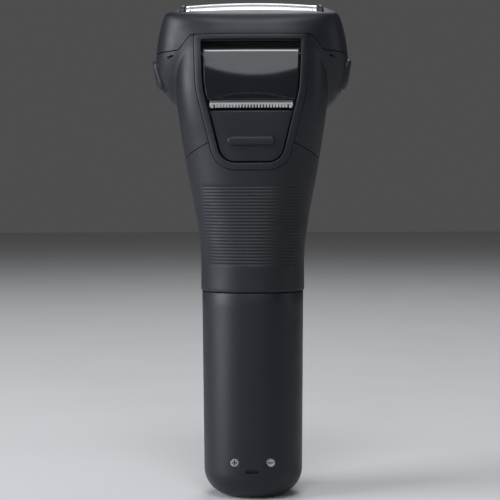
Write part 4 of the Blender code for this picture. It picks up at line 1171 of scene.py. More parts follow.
@dataclass
class Handle:
    """The power handle: case, charging contacts, button, lamp and what is inside."""

    finisher: Finisher
    form: HandleForm = field(default_factory=HandleForm)
    wall: float = 2.0 * MM
    slot: tuple[float, float, float] = (4.6 * MM, 1.4 * MM, 1.2 * MM)
    slot_height: float = 10.3 * MM
    sign_length: float = 1.9 * MM
    sign_width: float = 0.42 * MM
    sign_depth: float = 0.22 * MM
    inlay_sink: float = 0.08 * MM
    contact_play: float = 0.15 * MM
    contact_soft: float = 0.1 * MM
    contact_head: float = 1.5 * MM
    contact_stem: float = 0.7 * MM
    button_hole: float = 5.3 * MM
    lamp_dome: float = 0.35 * MM
    edge: float = 0.15 * MM

    def build(self) -> None:
        """Build every visible piece of the handle."""
        self.case()
        self.contacts()
        self.button()
        self.lamp()
        self.inside()

    @staticmethod
    def round_part(node: str) -> tuple[float, float, float]:
        """Where a round CAD node is, seen along Y.

        Args:
            node: the CAD node's name.

        Returns:
            Its middle along X and Z, and its radius.
        """
        low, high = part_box(node)
        return (low.x + high.x) / 2, (low.z + high.z) / 2, (high.x - low.x) / 2

    def case(self) -> None:
        """The moulded case, with its holes."""
        steps = []
        inner = 8 * MM
        for node in ("charge_contact_plus", "charge_contact_minus"):
            x, z, radius = self.round_part(node)
            steps.append(("cut", rod((x, -REACH, z), (x, -inner, z), radius + self.contact_play)))
        wide, tall, deep = self.slot
        outline = oblong(wide / 2, tall / 2, tall * 0.49, (0.0, self.slot_height))
        steps.append(("cut", prism(outline, -REACH, -self.form.front(self.slot_height) + deep)))
        for node in ("power_button", "indicator_lamp"):
            _, z, radius = self.round_part(node)
            radius = self.button_hole if node == "power_button" else radius + self.contact_play
            steps.append(("cut", rod((0, inner, z), (0, REACH, z), radius, 64)))
        case = combined(self.form.wall(self.wall), *steps)
        self.finisher.piece(case, "handle_case", "handle", Slot.CHARCOAL, ["handle_shell"])

    def contacts(self) -> None:
        """The two charging discs, each with its engraved sign."""
        for sign in ("plus", "minus"):
            node = "charge_contact_" + sign
            low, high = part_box(node)
            x, z, radius = self.round_part(node)
            soft, head, stem = self.contact_soft, self.contact_head, self.contact_stem
            profile = [
                (0, 0), (radius - soft, 0), (radius - soft * 0.3, soft * 0.3), (radius, soft),
                (radius, head), (stem, head), (stem, high.y - low.y), (0, high.y - low.y),
            ]
            disc = turned(profile, (x, low.y, z), "Y")
            long, half = self.sign_length / 2, self.sign_width / 2
            bars = [(long, half)] + ([(half, long)] if sign == "plus" else [])
            steps = [
                ("cut", block((x - a, low.y - MM, z - b), (x + a, low.y + self.sign_depth, z + b)))
                for a, b in bars
            ]
            disc = combined(disc, *steps)
            self.finisher.piece(disc, f"contact_disc_{sign}", "handle", Slot.CONTACT, [node])
            first, *others = [
                block((x - a, low.y + self.inlay_sink, z - b), (x + a, low.y + self.sign_depth, z + b))
                for a, b in bars
            ]
            inlay = combined(first, *(("join", other) for other in others))
            self.finisher.piece(inlay, f"contact_sign_{sign}", "handle", Slot.BLACK)

    def button(self) -> None:
        """The dished power button with a raised ring."""
        low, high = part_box("power_button")
        z = (low.z + high.z) / 2
        face = high.y
        profile = [
            (0, face - 0.55 * MM), (1.6 * MM, face - 0.5 * MM), (2.9 * MM, face - 0.3 * MM),
            (3.5 * MM, face - 0.1 * MM), (3.9 * MM, face), (4.3 * MM, face - 0.06 * MM),
            (4.75 * MM, face - 0.45 * MM), (5.0 * MM, face - 1.0 * MM), (5.0 * MM, low.y + 3.4 * MM),
            (1.5 * MM, low.y + 3.4 * MM), (1.5 * MM, low.y), (0, low.y),
        ]
        item = turned(profile, (0, 0, z), "Y", 96)
        self.finisher.piece(item, "power_key", "power_button", Slot.GLOSS, ["power_button"])

    def lamp(self) -> None:
        """The indicator's light guide, with a domed end."""
        low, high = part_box("indicator_lamp")
        _, z, radius = self.round_part("indicator_lamp")
        dome = [
            (radius * math.sin(t), high.y - self.lamp_dome * (1 - math.cos(t)))
            for t in np.linspace(0, 1.5, 7)
        ]
        item = turned(dome + [(radius, low.y), (0, low.y)], (0, 0, z), "Y", 48)
        self.finisher.piece(item, "lamp_guide", "handle", Slot.LAMP, ["indicator_lamp"])

    def inside(self) -> None:
        """The mouth's collar and the sealed pieces, which keep their CAD meshes."""
        for node, slot in (
            ("coupling_collar", Slot.BLACK), ("collar_seal", Slot.SEAL), ("inner_chassis", Slot.INNER),
            ("battery_cell", Slot.CELL), ("battery_tab_bottom", Slot.CONTACT),
            ("battery_tab_top", Slot.CONTACT), ("circuit_board", Slot.BOARD),
            ("power_switch", Slot.BLACK), ("control_chip", Slot.BLACK), ("capacitor", Slot.CONTACT),
            ("drive_motor", Slot.CONTACT), ("motor_shaft", Slot.STEEL), ("drive_dog", Slot.BLACK),
        ):
            self.finisher.dress(node, slot, 0.0 if node == "collar_seal" else self.edge)


@dataclass
class Ribs:
    """The fine ribs across the grip's back."""

    low: float = 9.3 * MM
    high: float = 36.4 * MM
    pitch: float = 1.09 * MM
    depth: float = 0.24 * MM
    half_low: float = 15.6 * MM
    half_high: float = 17.0 * MM
    fade: float = 0.7 * MM

    def sink(self, ring: np.ndarray, height: float) -> np.ndarray:
        """A ring with the ribs' grooves pressed into its back.

        Args:
            ring: the ring's points.
            height: in the head.

        Returns:
            The ring's new points.
        """
        if not self.low <= height <= self.high:
            return ring
        wave = 0.5 - 0.5 * math.cos(2 * math.pi * (height - self.low) / self.pitch)
        share = (height - self.low) / (self.high - self.low)
        half = self.half_low + (self.half_high - self.half_low) * share
        mask = 1 - smoothed(np.abs(ring[:, 0]), half - self.fade, half)
        mask = np.where(ring[:, 1] < 0, mask, 0)
        far = np.linalg.norm(ring[:, :2], axis=1)
        made = ring.copy()
        made[:, :2] *= (1 - self.depth * wave * mask / far)[:, None]
        return made


@dataclass
class Head:
    """The plug-on head's casings, its release buttons and what is inside."""

    finisher: Finisher
    form: HeadForm
    window: Window
    ribs: Ribs = field(default_factory=Ribs)
    wall: float = 2.0 * MM
    tray_back: float = 12.4 * MM
    seam_crown: float = 54.1 * MM
    seam_fall: float = 0.0158 / MM
    frame_edge: tuple[Point, ...] = (
        (REACH, 79.8 * MM, 0.0), (24.6 * MM, 81.9 * MM, 2 * MM), (20.4 * MM, 86.85 * MM, 1.5 * MM),
    )
    release_half: float = 6.5 * MM
    release_low: float = 68.8 * MM
    release_high: float = 79.5 * MM
    release_corner: float = 3.0 * MM
    release_inner: float = 28.1 * MM
    release_outer: float = 29.4 * MM
    release_lip: float = 0.8 * MM
    release_soft: float = 0.8 * MM
    release_dish: float = 0.25 * MM
    release_sunk: float = 3.2 * MM
    column: float = 2.6 * MM
    column_foot: float = 60 * MM
    screw_hole: float = 1.4 * MM
    notch_lean: float = math.radians(18)
    notch_deep: float = 1.2 * MM
    notch: tuple[float, float] = (2.2 * MM, 0.7 * MM)
    notch_place: tuple[float, float] = (27.4 * MM, 79.9 * MM)

    def build(self) -> None:
        """Build every visible piece of the head."""
        self.grip()
        self.neck()
        self.release_buttons()
        self.inside()

    def below_seam(self, shift: float) -> bpy.types.Object:
        """Everything under the seam between grip and neck.

        Args:
            shift: how far the seam is moved up.

        Returns:
            The object.
        """
        across = np.linspace(-36 * MM, 36 * MM, 73)
        seam = [(x, up(self.seam_crown - self.seam_fall * x * x) + shift) for x in across]
        return prism([(across[0], -REACH), *seam, (across[-1], -REACH)][::-1], -REACH, REACH)

    def above_frame_edge(self, shift: float) -> bpy.types.Object:
        """Everything over the foil frame's lower edge.

        Args:
            shift: how far the edge is moved up.

        Returns:
            The object.
        """
        right = [(x, up(z) + shift, r) for x, z, r in self.frame_edge]
        left = [(-x, z, r) for x, z, r in right]
        outline = rounded([(-REACH, 4 * REACH, 0), *left, *right[::-1], (REACH, 4 * REACH, 0)])
        return prism(outline, -REACH, REACH)

    def window_cut(self) -> bpy.types.Object:
        """The block that opens the casings round the window's band."""
        window = self.window
        return window.opening(window.band + window.seam, self.tray_back, window.band_top + window.seam)

    def release_outline(self, grow: float) -> Outline:
        """A release button's outline seen from the side.

        Args:
            grow: how far its sides move out.

        Returns:
            Its (y, z) points.
        """
        y, radius = self.release_half + grow, self.release_corner + grow
        low, high = up(self.release_low) - grow, up(self.release_high) + grow
        return rounded([(-y, high, radius), (-y, low, radius), (y, low, radius), (y, high, radius)])

    def grip(self) -> None:
        """The ribbed grip sleeve."""
        low, lip = 0.3 * MM, 0.25 * MM
        high = self.seam_crown + 2 * MM
        plain = list(np.linspace(low + lip, self.ribs.low, 9))
        ribbed = list(np.arange(self.ribs.low, self.ribs.high, self.ribs.pitch / 6))[1:]
        heights = plain + ribbed + list(np.linspace(self.ribs.high + 0.2 * MM, high, 18))
        outside = [self.form.ring(low, -lip), self.form.ring(low + lip * 0.3, -lip * 0.3)]
        outside += [self.ribs.sink(self.form.ring(z), z) for z in heights]
        inside = [self.form.ring(z, -self.wall) for z in (high, 48 * MM, 36 * MM, 24 * MM, 12 * MM, low)]
        sleeve = loft(outside + inside, ends=False, name="grip")
        sleeve = combined(sleeve, ("keep", self.below_seam(-GAP / 2)), ("cut", self.window_cut()))
        self.finisher.piece(sleeve, "grip_sleeve", "head_unit", Slot.GRIP, ["grip_shell"])

    def shell(self, low: float) -> bpy.types.Object:
        """The hollow outer form from a height upwards.

        Args:
            low: its lowest height in the head.

        Returns:
            The object.
        """
        top = self.form.drum[-1][0] * MM
        hollow = self.form.solid(low - 3 * MM, top, -self.wall, 2 * MM)
        return combined(self.form.solid(low, top, step=0.7 * MM), ("cut", hollow))

    def neck(self) -> None:
        """The neck's casing, with its screw columns, button holes and notches."""
        steps = [
            ("cut", self.below_seam(GAP / 2)),
            ("cut", self.above_frame_edge(-GAP / 2)),
            ("cut", self.window_cut()),
        ]
        for side in (-1, 1):
            inner, outer = sorted((side * (self.release_inner - 4 * MM), side * REACH))
            steps.append(("cut", prism(self.release_outline(GAP), inner, outer, "X")))
            steps.append(("cut", self.notch_block(side)))
        for node in ("deck_screw_left", "deck_screw_right"):
            low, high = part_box(node)
            x, y = (low.x + high.x) / 2, (low.y + high.y) / 2
            top_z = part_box("head_deck")[0].z - GAP
            steps.append(("join", rod((x, y, up(self.column_foot)), (x, y, top_z), self.column)))
            steps.append(("cut", rod((x, y, low.z - MM), (x, y, high.z), self.screw_hole, 24)))
        casing = combined(self.shell(36 * MM), *steps)
        self.finisher.piece(casing, "neck_casing", "head_unit", Slot.CHARCOAL, ["neck_housing"])

    def notch_block(self, side: int) -> bpy.types.Object:
        """The slanted notch under the frame's edge on one cheek.

        Args:
            side: -1 or 1.

        Returns:
            The cutting block.
        """
        x, z = self.notch_place
        wide, tall = self.notch
        lean = -side * self.notch_lean
        cos, sin = math.cos(lean), math.sin(lean)
        outline = [
            (side * x + a * cos - b * sin, up(z) + a * sin + b * cos)
            for a, b in oblong(wide / 2, tall / 2, 0.3 * MM)
        ]
        return prism(outline, -REACH, -self.form.back(x, z) + self.notch_deep)

    def release_buttons(self) -> None:
        """The two release buttons, domed and following the head's side."""
        middle = up((self.release_low + self.release_high) / 2)
        for name, side in (("left", -1), ("right", 1)):
            low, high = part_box("release_button_" + name)
            proud = max(abs(low.x), abs(high.x)) - float(self.form.reach(np.array([0.0]), 79 * MM)[0])
            rings = []
            soft = self.release_soft
            steps = [(0.0, -self.release_sunk), (0.0, proud - soft)]
            steps += soft_edge(soft, proud, (0.4, 0.8, 1.2, 1.57))
            for inset, rise in steps:
                rings.append(self.side_ring(self.release_outline(-inset), rise, side))
            last = self.release_outline(-soft)
            for share in (0.75, 0.5, 0.25, 0.05):
                dish = self.release_dish * (1 - share) ** 0.5
                ring = [(y * share, middle + (z - middle) * share) for y, z in last]
                rings.append(self.side_ring(ring, proud - dish, side))
            item = loft(rings, name="release")
            ends = sorted((side * self.release_inner, side * self.release_outer))
            lip = prism(self.release_outline(self.release_lip), *ends, "X")
            item = combined(item, ("join", lip))
            self.finisher.piece(
                item, "release_key_" + name, "release_button_" + name, Slot.CHARCOAL,
                ["release_button_" + name],
            )

    def side_ring(self, path: Outline, rise: float, side: int) -> np.ndarray:
        """A path laid on the head's side.

        Args:
            path: (y, z) points.
            rise: how far outside the form it lies.
            side: -1 or 1.

        Returns:
            The ring's points.
        """
        made = []
        for y, z in path:
            far = self.form.side(y, z - JOINT)
            made.append((side * (far + rise), y, z))
        return np.array(made)

    def inside(self) -> None:
        """What a lifted frame or a pulled head shows, which keeps its CAD meshes."""
        for node, slot, rounding in (
            ("socket_ring", Slot.BLACK, 0.2 * MM), ("shaft_tube", Slot.INNER, 0.2 * MM),
            ("lower_bush", Slot.BRASS, 0.15 * MM), ("upper_bush", Slot.BRASS, 0.15 * MM),
            ("head_deck", Slot.INNER, 0.2 * MM), ("deck_screw_left", Slot.SPRING, 0.1 * MM),
            ("deck_screw_right", Slot.SPRING, 0.1 * MM), ("trimmer_hinge_pin", Slot.BLACK, 0.1 * MM),
            ("trimmer_tray", Slot.BLACK, 0.0), ("shaft_coupling", Slot.BLACK, 0.2 * MM),
            ("drive_shaft", Slot.STEEL, 0.15 * MM), ("crank_wheel", Slot.BLACK, 0.2 * MM),
            ("oscillator_bridge", Slot.INNER, 0.2 * MM), ("blade_spring_rear", Slot.SPRING, 0.0),
            ("blade_spring_centre", Slot.SPRING, 0.0), ("blade_spring_front", Slot.SPRING, 0.0),
        ):
            self.finisher.dress(node, slot, rounding)


def gathered(items: Sequence[bpy.types.Object], name: str) -> bpy.types.Object:
    """Several objects' meshes as one object.

    Args:
        items: the objects, which are removed.
        name: the mesh's name.

    Returns:
        The object.
    """
    points: list = []
    faces: list = []
    for item in items:
        base = len(points)
        points += [vertex.co[:] for vertex in item.data.vertices]
        faces += [[base + index for index in polygon.vertices] for polygon in item.data.polygons]
        bpy.data.objects.remove(item)
    return mesh_object(name, points, faces)


@dataclass
class FoilHead:
    """The removable cap with its cassette, foils and the blades under them."""

    finisher: Finisher
    head: Head
    spacing: float = 8.4 * MM
    half_length: float = 22.0 * MM
    radius: float = 3.6 * MM
    crown: float = 98.3 * MM
    foot: float = 91.0 * MM
    bow: float = 0.9 * MM
    sheet: float = 0.09 * MM
    pitch: float = 0.92 * MM
    hole: float = 0.62
    solid_end: float = 0.9 * MM
    open_angle: float = math.radians(80)
    cassette_low: float = 88.5 * MM
    cassette_high: float = 94.3 * MM
    cassette_end: float = 2.1 * MM
    nub_top: float = 97.6 * MM
    nub_width: float = 1.5 * MM
    nub_radius: float = 3.4 * MM
    blade_foot: float = 90.5 * MM
    blade_radius: float = 3.0 * MM
    blade_half: float = 20.0 * MM
    blade_count: int = 34
    blade_thick: float = 0.3 * MM
    blade_wide: float = 0.9 * MM
    bar_height: float = 1.4 * MM
    bar_hole: float = 1.7 * MM
    slot_play: float = 0.3 * MM

    def build(self) -> None:
        """Build the cap, the cassette, the foils and the blades."""
        self.cap()
        self.cassette()
        for name, y in (("rear", -self.spacing), ("centre", 0.0), ("front", self.spacing)):
            self.foil(name, y)
            self.blade(name, y)

    @property
    def half_depth(self) -> float:
        """Half the cassette's depth."""
        return self.spacing + self.radius + 0.65 * MM

    def cap(self) -> None:
        """The cap's casing."""
        head = self.head
        x, y = self.half_length + self.cassette_end + GAP, self.half_depth + GAP
        steps = [
            ("keep", head.above_frame_edge(GAP / 2)),
            ("cut", block((-x, -y, up(70 * MM)), (x, y, up(self.crown) + REACH))),
            ("cut", head.window_cut()),
        ]
        casing = combined(head.shell(70 * MM), *steps)
        self.finisher.piece(casing, "foil_cap", "foil_frame", Slot.CHARCOAL, ["foil_frame"])

    def cassette(self) -> None:
        """The frame that holds the foils, with a rounded nub at each end of each."""
        x, y = self.half_length + self.cassette_end, self.half_depth
        item = bevelled(block((-x, -y, up(self.cassette_low)), (x, y, up(self.cassette_high))), 0.3 * MM)
        steps = []
        low, high = up(self.cassette_high) - MM, up(self.nub_top)
        for side in (-1, 1):
            ends = sorted((side * x, side * (x - self.nub_width)))
            for middle in (-self.spacing, 0.0, self.spacing):
                wide = self.nub_radius
                outline = rounded(
                    [(middle - wide, high, wide * 0.9), (middle - wide, low, 0),
                     (middle + wide, low, 0), (middle + wide, high, wide * 0.9)]
                )
                steps.append(("join", bevelled(prism(outline, *ends, "X"), 0.35 * MM)))
        for middle in (-self.spacing, 0.0, self.spacing):
            long, wide = self.half_length + self.slot_play, self.radius + self.slot_play
            slot = block(
                (-long, middle - wide, up(self.cassette_low) - MM),
                (long, middle + wide, up(self.cassette_high) + MM),
            )
            steps.append(("cut", slot))
        item = combined(item, *steps)
        self.finisher.piece(item, "foil_carrier", "foil_frame", Slot.BLACK, ["foil_cassette"])

    def on_arch(self, across: float, run: float, middle: float, radius: float, foot: float) -> Point:
        """A point on an arch that spans a row.

        Args:
            across: the place along X.
            run: the distance along the arch from its crown.
            middle: the row's place along Y.
            radius: the arch's radius.
            foot: the height its legs end at, in the head.

        Returns:
            The point.
        """
        crown = self.crown - (self.radius - radius) - self.bow * (across / self.half_length) ** 2
        quarter = radius * math.pi / 2
        turn = max(-quarter, min(quarter, run)) / radius
        leg = max(0.0, abs(run) - quarter)
        height = max(foot, crown - radius + radius * math.cos(turn) - leg)
        return (across, middle + radius * math.sin(turn), up(height))

    def foil(self, name: str, middle: float) -> None:
        """A foil: a thin arched sheet with a honeycomb of holes.

        Args:
            name: the row's name.
            middle: the row's place along Y.
        """
        quarter = self.radius * math.pi / 2
        limit = quarter + (self.crown - self.radius - self.foot)
        open_run = self.radius * self.open_angle
        rise = self.pitch * math.sqrt(3) / 2
        points: list[Point] = []
        faces: list[tuple[int, ...]] = []
        found: dict[tuple[int, int], int] = {}

        def vertex(across: float, run: float) -> int:
            """The vertex at a place on the arch, made the first time it is asked for.

            Args:
                across: its place along the foil, kept within the foil's ends.
                run: its way round the arch from the crown, kept within the foil's feet.

            Returns:
                Its number in the list of points.
            """
            across = max(-self.half_length, min(self.half_length, across))
            run = max(-limit, min(limit, run))
            key = (round(across * 2e6), round(run * 2e6))
            if key not in found:
                found[key] = len(points)
                points.append(self.on_arch(across, run, middle, self.radius, self.foot))
            return found[key]

        corner = self.pitch / math.sqrt(3)
        turns = [math.pi / 6 + n * math.pi / 3 for n in range(6)]
        rows = math.ceil(limit / rise) + 1
        columns = math.ceil(self.half_length / self.pitch) + 1
        for row in range(-rows, rows + 1):
            for column in range(-columns, columns + 1):
                x = (column + 0.5 * (row % 2)) * self.pitch
                run = row * rise
                outer = [vertex(x + corner * math.cos(t), run + corner * math.sin(t)) for t in turns]
                if len(set(outer)) < 3:
                    continue
                inside = abs(x) < self.half_length - self.solid_end and abs(run) < open_run
                if not inside:
                    faces.append(tuple(dict.fromkeys(outer)))
                    continue
                inner = []
                for t in turns:
                    far = corner * self.hole
                    inner.append(vertex(x + far * math.cos(t), run + far * math.sin(t)))
                for n in range(6):
                    after = (n + 1) % 6
                    faces.append((outer[n], outer[after], inner[after], inner[n]))
        item = mesh_object("foil", points, faces)
        thick = item.modifiers.new("sheet", "SOLIDIFY")
        thick.thickness = self.sheet
        thick.offset = -1.0
        bake_in(item)
        self.finisher.piece(item, "foil_sheet_" + name, "foil_" + name, Slot.STEEL, ["foil_" + name])

    def blade(self, name: str, middle: float) -> None:
        """An inner blade: a row of thin arched plates on a bar.

        Args:
            name: the row's name.
            middle: the row's place along Y.
        """
        plates = []
        quarter = self.blade_radius * math.pi / 2
        foot = self.blade_foot + 0.6 * MM
        for x in np.linspace(-self.blade_half + MM, self.blade_half - MM, self.blade_count):
            outline = []
            for radius, way in ((self.blade_radius, 1), (self.blade_radius - self.blade_wide, -1)):
                runs = [quarter * n / 12 for n in range(-12, 13)]
                arc = [
                    self.on_arch(float(x), radius / self.blade_radius * run, middle, radius, foot)
                    for run in runs
                ]
                arc = [(0, middle - radius, up(foot)), *arc, (0, middle + radius, up(foot))]
                outline += [(y, z) for _, y, z in arc[::way]]
            half = self.blade_thick / 2
            plates.append(prism(outline, x - half, x + half, "X"))
        side = self.blade_radius - 0.1 * MM
        low, high = up(self.blade_foot), up(self.blade_foot + self.bar_height)
        bar = block((-self.blade_half, middle - side, low), (self.blade_half, middle + side, high))
        hole = rod((0, middle, low - MM), (0, middle, high + MM), self.bar_hole)
        bar = combined(bevelled(bar, 0.2 * MM), ("cut", hole))
        item = gathered([bar, *plates], "blade")
        body = "inner_blade_" + name
        self.finisher.piece(item, "blade_row_" + name, body, Slot.STEEL, [body])


@dataclass
class Trimmer:
    """The flip-out trimmer: its flap, comb and cutter."""

    finisher: Finisher
    form: HeadForm
    window: Window
    bottom: float = 65.0 * MM
    gap: float = 0.65 * MM
    recess: float = 0.3 * MM
    thick: float = 2.0 * MM
    face_bend: float = 160 * MM
    hinge_height: float = 80.3 * MM
    hinge_depth: float = 17.1 * MM
    knuckle: float = 3.0 * MM
    pin: float = 0.8 * MM
    comb_half: float = 13.85 * MM
    comb_tip: float = 62.2 * MM
    comb_top: float = 64.7 * MM
    comb_face: float = 20.3 * MM
    comb_thick: float = 0.5 * MM
    teeth: int = 26
    tooth_length: float = 1.2 * MM
    end_tooth: float = 1.5 * MM
    strip_lean: float = 0.28 * MM
    scoop_rise: float = 2.3 * MM
    scoop_depth: float = 0.8 * MM

    def build(self) -> None:
        """Build the flap and the comb, and finish the cutter."""
        self.flap()
        self.comb()
        self.finisher.dress("trimmer_cutter", Slot.STEEL)

    def face(self, across: float, height: float) -> float:
        """The flap's depth behind the axis.

        Args:
            across: the place along X.
            height: in the head.

        Returns:
            The depth.
        """
        plain = self.form.back(0.0, height) - self.recess - across**2 / (2 * self.face_bend)
        above = max(0.0, height - self.hinge_height)
        plain -= self.knuckle - math.sqrt(self.knuckle**2 - above**2)
        arch = self.bottom + self.scoop_rise * (1 - (across / self.comb_half) ** 2)
        return plain - self.scoop_depth * float(smoothed(arch - height, 0.0, 0.3 * MM))

    def half(self, height: float) -> float:
        """Half its width at a height in the head."""
        return self.window.half_width(height, self.gap)

    def flap(self) -> None:
        """The glossy flap with the round knuckle along its top."""
        top = self.hinge_height + self.knuckle * 0.88
        heights = list(np.linspace(self.bottom, self.bottom + 3 * MM, 40))
        heights += list(np.linspace(self.bottom + 3.4 * MM, self.hinge_height - MM, 30))
        heights += list(np.linspace(self.hinge_height - 0.8 * MM, top, 16))
        item = panel(heights, self.half, self.face, self.thick, 81, 0.3 * MM)
        wide = self.half(self.hinge_height) - 0.05 * MM
        y, z = -self.hinge_depth, up(self.hinge_height)
        barrel = rod((-wide, y, z), (wide, y, z), self.knuckle - 0.7 * MM, 96)
        axle = rod((-REACH, y, z), (REACH, y, z), self.pin + GAP, 32)
        back = self.comb_face - 2 * self.comb_thick - 2 * GAP
        inset = 0.8 * MM
        tongue = block(
            (-self.comb_half + inset, -back, up(self.comb_tip + 1.5 * MM)),
            (self.comb_half - inset, -back + 1.1 * MM, up(self.bottom + 3 * MM)),
        )
        item = combined(item, ("join", barrel), ("join", tongue), ("cut", axle))
        self.finisher.piece(item, "trimmer_door", "trimmer", Slot.GLOSS, ["trimmer_flap"])

    def comb_outline(self, low: float, root: float, high: float) -> Outline:
        """The comb seen from behind, with a broad rounded tooth at each end.

        Args:
            low: where its teeth end.
            root: where they begin.
            high: its upper edge.

        Returns:
            The outline.
        """
        inner = self.comb_half - self.end_tooth
        pitch = 2 * inner / (self.teeth - 2)
        tooth, fillet = pitch * 0.26, 0.1 * MM
        tip, tip_round, tip_level = tooth * 0.75, 0.16 * MM, low + 0.1 * MM
        outer = inner + pitch * 0.22
        corners = [(-self.comb_half, high, 0.0), (-self.comb_half, low, 0.85 * MM)]
        corners.append((-outer, low, 0.3 * MM))
        edge = -outer
        for n in range(self.teeth - 2):
            middle = -inner + pitch * (n + 0.5)
            corners += [(edge, root, fillet), (middle - tooth, root, fillet)]
            corners += [(middle - tip, tip_level, tip_round), (middle + tip, tip_level, tip_round)]
            edge = middle + tooth
        corners += [(edge, root, fillet), (outer, root, fillet)]
        corners += [(outer, low, 0.3 * MM), (self.comb_half, low, 0.85 * MM)]
        corners.append((self.comb_half, high, 0.0))
        return rounded(corners, math.radians(20))

    def comb(self) -> None:
        """The fixed comb: bright teeth under a leaning strip, the strip's steel darkened as painted shade
        from the flap above it.
        """
        low, root, high = up(self.comb_tip), up(self.comb_tip + self.tooth_length), up(self.comb_top)
        outline = self.comb_outline(low, root, high)
        item = prism(outline, -self.comb_face, -self.comb_face + self.comb_thick)
        back, front = -self.comb_face + 0.1 * MM, -self.comb_face - self.strip_lean
        ledge = root + 0.35 * MM
        strip = [(back, ledge), (front, high - 0.1 * MM), (front, high), (back, high)]
        item = combined(item, ("join", prism(strip, -self.comb_half, self.comb_half, "X")))
        self.finisher.piece(item, "trimmer_blade", "trimmer", Slot.STEEL, ["trimmer_comb"], sharp=30)
        # The strip's faces above the ledge take the darker steel as painted shade under the flap.
        item.data.materials.append(STRIP_PAINTED_SHADE.build(self.finisher.effects))
        for polygon in item.data.polygons:
            polygon.material_index = int(polygon.center.z > ledge)


@dataclass
class SliderPanel:
    """The trimmer's slider: a panel in the window with a pill-shaped ridge."""

    finisher: Finisher
    form: HeadForm
    window: Window
    top: float = 61.4 * MM
    gap: float = 0.4 * MM
    recess: float = 0.5 * MM
    thick: float = 1.3 * MM
    ridge_wide: float = 15.9 * MM
    ridge_tall: float = 3.0 * MM
    ridge_rise: float = 1.0 * MM
    ridge_height: float = 51.3 * MM
    ridge_soft: float = 0.65 * MM
    tray_depth: float = 13.6 * MM

    def half(self, height: float) -> float:
        """Half its width at a height in the head."""
        return self.window.half_width(height, self.gap)

    def face(self, across: float, height: float) -> float:
        """Its depth behind the axis, at a place along X and a height in the head."""
        return self.form.back(across, height) - self.recess

    def build(self) -> None:
        """Build the slider as one piece."""
        low = self.window.corners[-1][1] * MM + self.gap
        heights = [low + 0.02 * MM + 6 * MM * (1 - math.cos(t)) for t in np.linspace(0, math.pi / 2, 24)]
        heights += list(np.linspace(heights[-1] + 0.4 * MM, self.top, 26))
        item = panel(heights, self.half, self.face, self.thick, 61, 0.35 * MM)
        depth = self.face(0.0, self.ridge_height)
        rings = []
        steps = [(0.0, -0.8 * MM), (0.0, self.ridge_rise - self.ridge_soft)]
        steps += soft_edge(self.ridge_soft, self.ridge_rise, (0.3, 0.6, 0.9, 1.2, 1.5))
        for inset, rise in steps:
            wide, tall = self.ridge_wide / 2 - inset, self.ridge_tall / 2 - inset
            pill = oblong(wide, tall, tall * 0.98, (0.0, up(self.ridge_height)))
            rings.append(np.array([(x, -depth - rise, level) for x, level in pill]))
        ridge = loft(rings, name="ridge")
        foot = block(
            (-4 * MM, -depth + 0.9 * MM, up(self.ridge_height - 4 * MM)),
            (4 * MM, -self.tray_depth - GAP, up(self.ridge_height + 5 * MM)),
        )
        item = combined(item, ("join", ridge), ("join", foot))
        self.finisher.piece(item, "slider_panel", "trimmer_slider", Slot.CHARCOAL, ["trimmer_slider"])


# Studio -------------------------------------------------------------------------------------


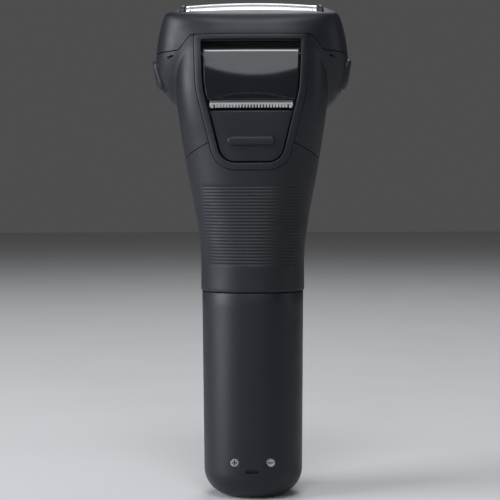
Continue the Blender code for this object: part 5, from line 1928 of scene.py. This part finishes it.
@dataclass
class Studio:
    """A pale floor, soft lights and the camera."""

    distance: float = 0.530
    azimuth: float = math.radians(1.0)
    eye: float = 0.10734
    roll: float = math.radians(-0.17)
    lens: float = 109.8
    tilt: float = math.radians(-2.416)
    aside: float = math.radians(0.10)
    floor_half: float = 3.0
    world: float = 0.075
    tint: tuple[float, float, float] = (0.93, 0.96, 1.0)
    sensor: float = 36.0

    def build(self) -> None:
        """Build the floor, the lights and the camera."""
        self.floor()
        self.lights()
        self.camera()

    def floor(self) -> None:
        """The floor, pale and faintly mottled."""
        half = self.floor_half
        corners = [(-half, -half, 0), (half, -half, 0), (half, half, 0), (-half, half, 0)]
        item = mesh_object("floor", corners, [(0, 1, 2, 3)])
        made = bpy.data.materials.new("pale_floor")
        made.use_nodes = True
        graph = Graph(made.node_tree)
        shader = made.node_tree.nodes["Principled BSDF"]
        place = graph.add("TexCoord").outputs["Object"]
        noise = graph.add("TexNoise", {"Vector": place, "Scale": 14.0, "Detail": 5.0})
        base = graph.mix(noise.outputs["Fac"], (0.54, 0.54, 0.54, 1), (0.60, 0.60, 0.60, 1))
        graph.tree.links.new(base, shader.inputs["Base Color"])
        shader.inputs["Roughness"].default_value = 0.7
        item.data.materials.append(made)

    def light(
        self, name: str, place: Point, aim: Point, wide: float, tall: float, power: float,
        shape: str = "RECTANGLE",
    ) -> None:
        """An area light of a slightly cool white.

        Args:
            name: its name.
            place: where it stands.
            aim: the point it faces.
            wide: its width.
            tall: its height.
            power: in watts.
            shape: "RECTANGLE" or "ELLIPSE".
        """
        data = bpy.data.lights.new(name, "AREA")
        data.shape = shape
        data.size, data.size_y = wide, tall
        data.energy = power
        data.color = self.tint
        item = bpy.data.objects.new(name, data)
        item.location = place
        item.rotation_euler = (Vector(aim) - Vector(place)).to_track_quat("-Z", "Y").to_euler()
        bpy.context.scene.collection.objects.link(item)

    def lights(self) -> None:
        """The key, one over the camera, two above, a weak fill, one behind, and the world."""
        self.light("key", (-0.95, -0.34, 0.38), (0, 0, 0.09), 0.6, 0.8, 14.0)
        self.light("over_camera", (0.0, -1.0, 0.715), (0, 0, 0.715), 0.9, 0.9, 3.4, "ELLIPSE")
        self.light("high_front", (0.0, -0.8, 1.3), (0, 0, 0.1), 0.6, 0.4, 7.0)
        self.light("overhead", (0.0, -0.22, 0.85), (0, 0, 0.1), 0.7, 0.4, 1.0)
        self.light("fill", (0.95, -0.10, 0.30), (0, 0, 0.09), 0.5, 0.5, 0.6)
        self.light("back", (0.1, 0.75, 1.1), (0, 0, 0.1), 0.6, 0.6, 5.0)
        world = bpy.data.worlds.new("studio")
        world.use_nodes = True
        world.node_tree.nodes["Background"].inputs["Color"].default_value = (self.world,) * 3 + (1,)
        bpy.context.scene.world = world
        bpy.context.scene.view_settings.view_transform = "Standard"

    def camera(self) -> None:
        """The camera, low behind the shaver and tilted a little down."""
        data = bpy.data.cameras.new("camera")
        data.lens = self.lens
        data.sensor_width = self.sensor
        item = bpy.data.objects.new("camera", data)
        turn = self.azimuth
        item.location = (self.distance * math.sin(turn), -self.distance * math.cos(turn), self.eye)
        look = Matrix.Rotation(turn + self.aside, 3, "Z")
        look @= Matrix.Rotation(math.pi / 2 + self.tilt, 3, "X")
        item.rotation_euler = (look @ Matrix.Rotation(self.roll, 3, "Z")).to_euler()
        bpy.context.scene.collection.objects.link(item)
        bpy.context.scene.camera = item


def main() -> None:
    """Build the shaver's visual model and the studio round it."""
    logging.basicConfig(level=logging.INFO, format="%(message)s")
    finisher = Finisher()
    form = HeadForm()
    window = Window(form)
    head = Head(finisher, form, window)
    Handle(finisher).build()
    head.build()
    band = window.bezel(0.3 * MM, 1.3 * MM)
    finisher.piece(band, "window_band", "head_unit", Slot.CHARCOAL, ["trimmer_bezel"])
    FoilHead(finisher, head).build()
    Trimmer(finisher, form, window).build()
    SliderPanel(finisher, form, window).build()
    Studio().build()


if __name__ == "__main__":
    main()
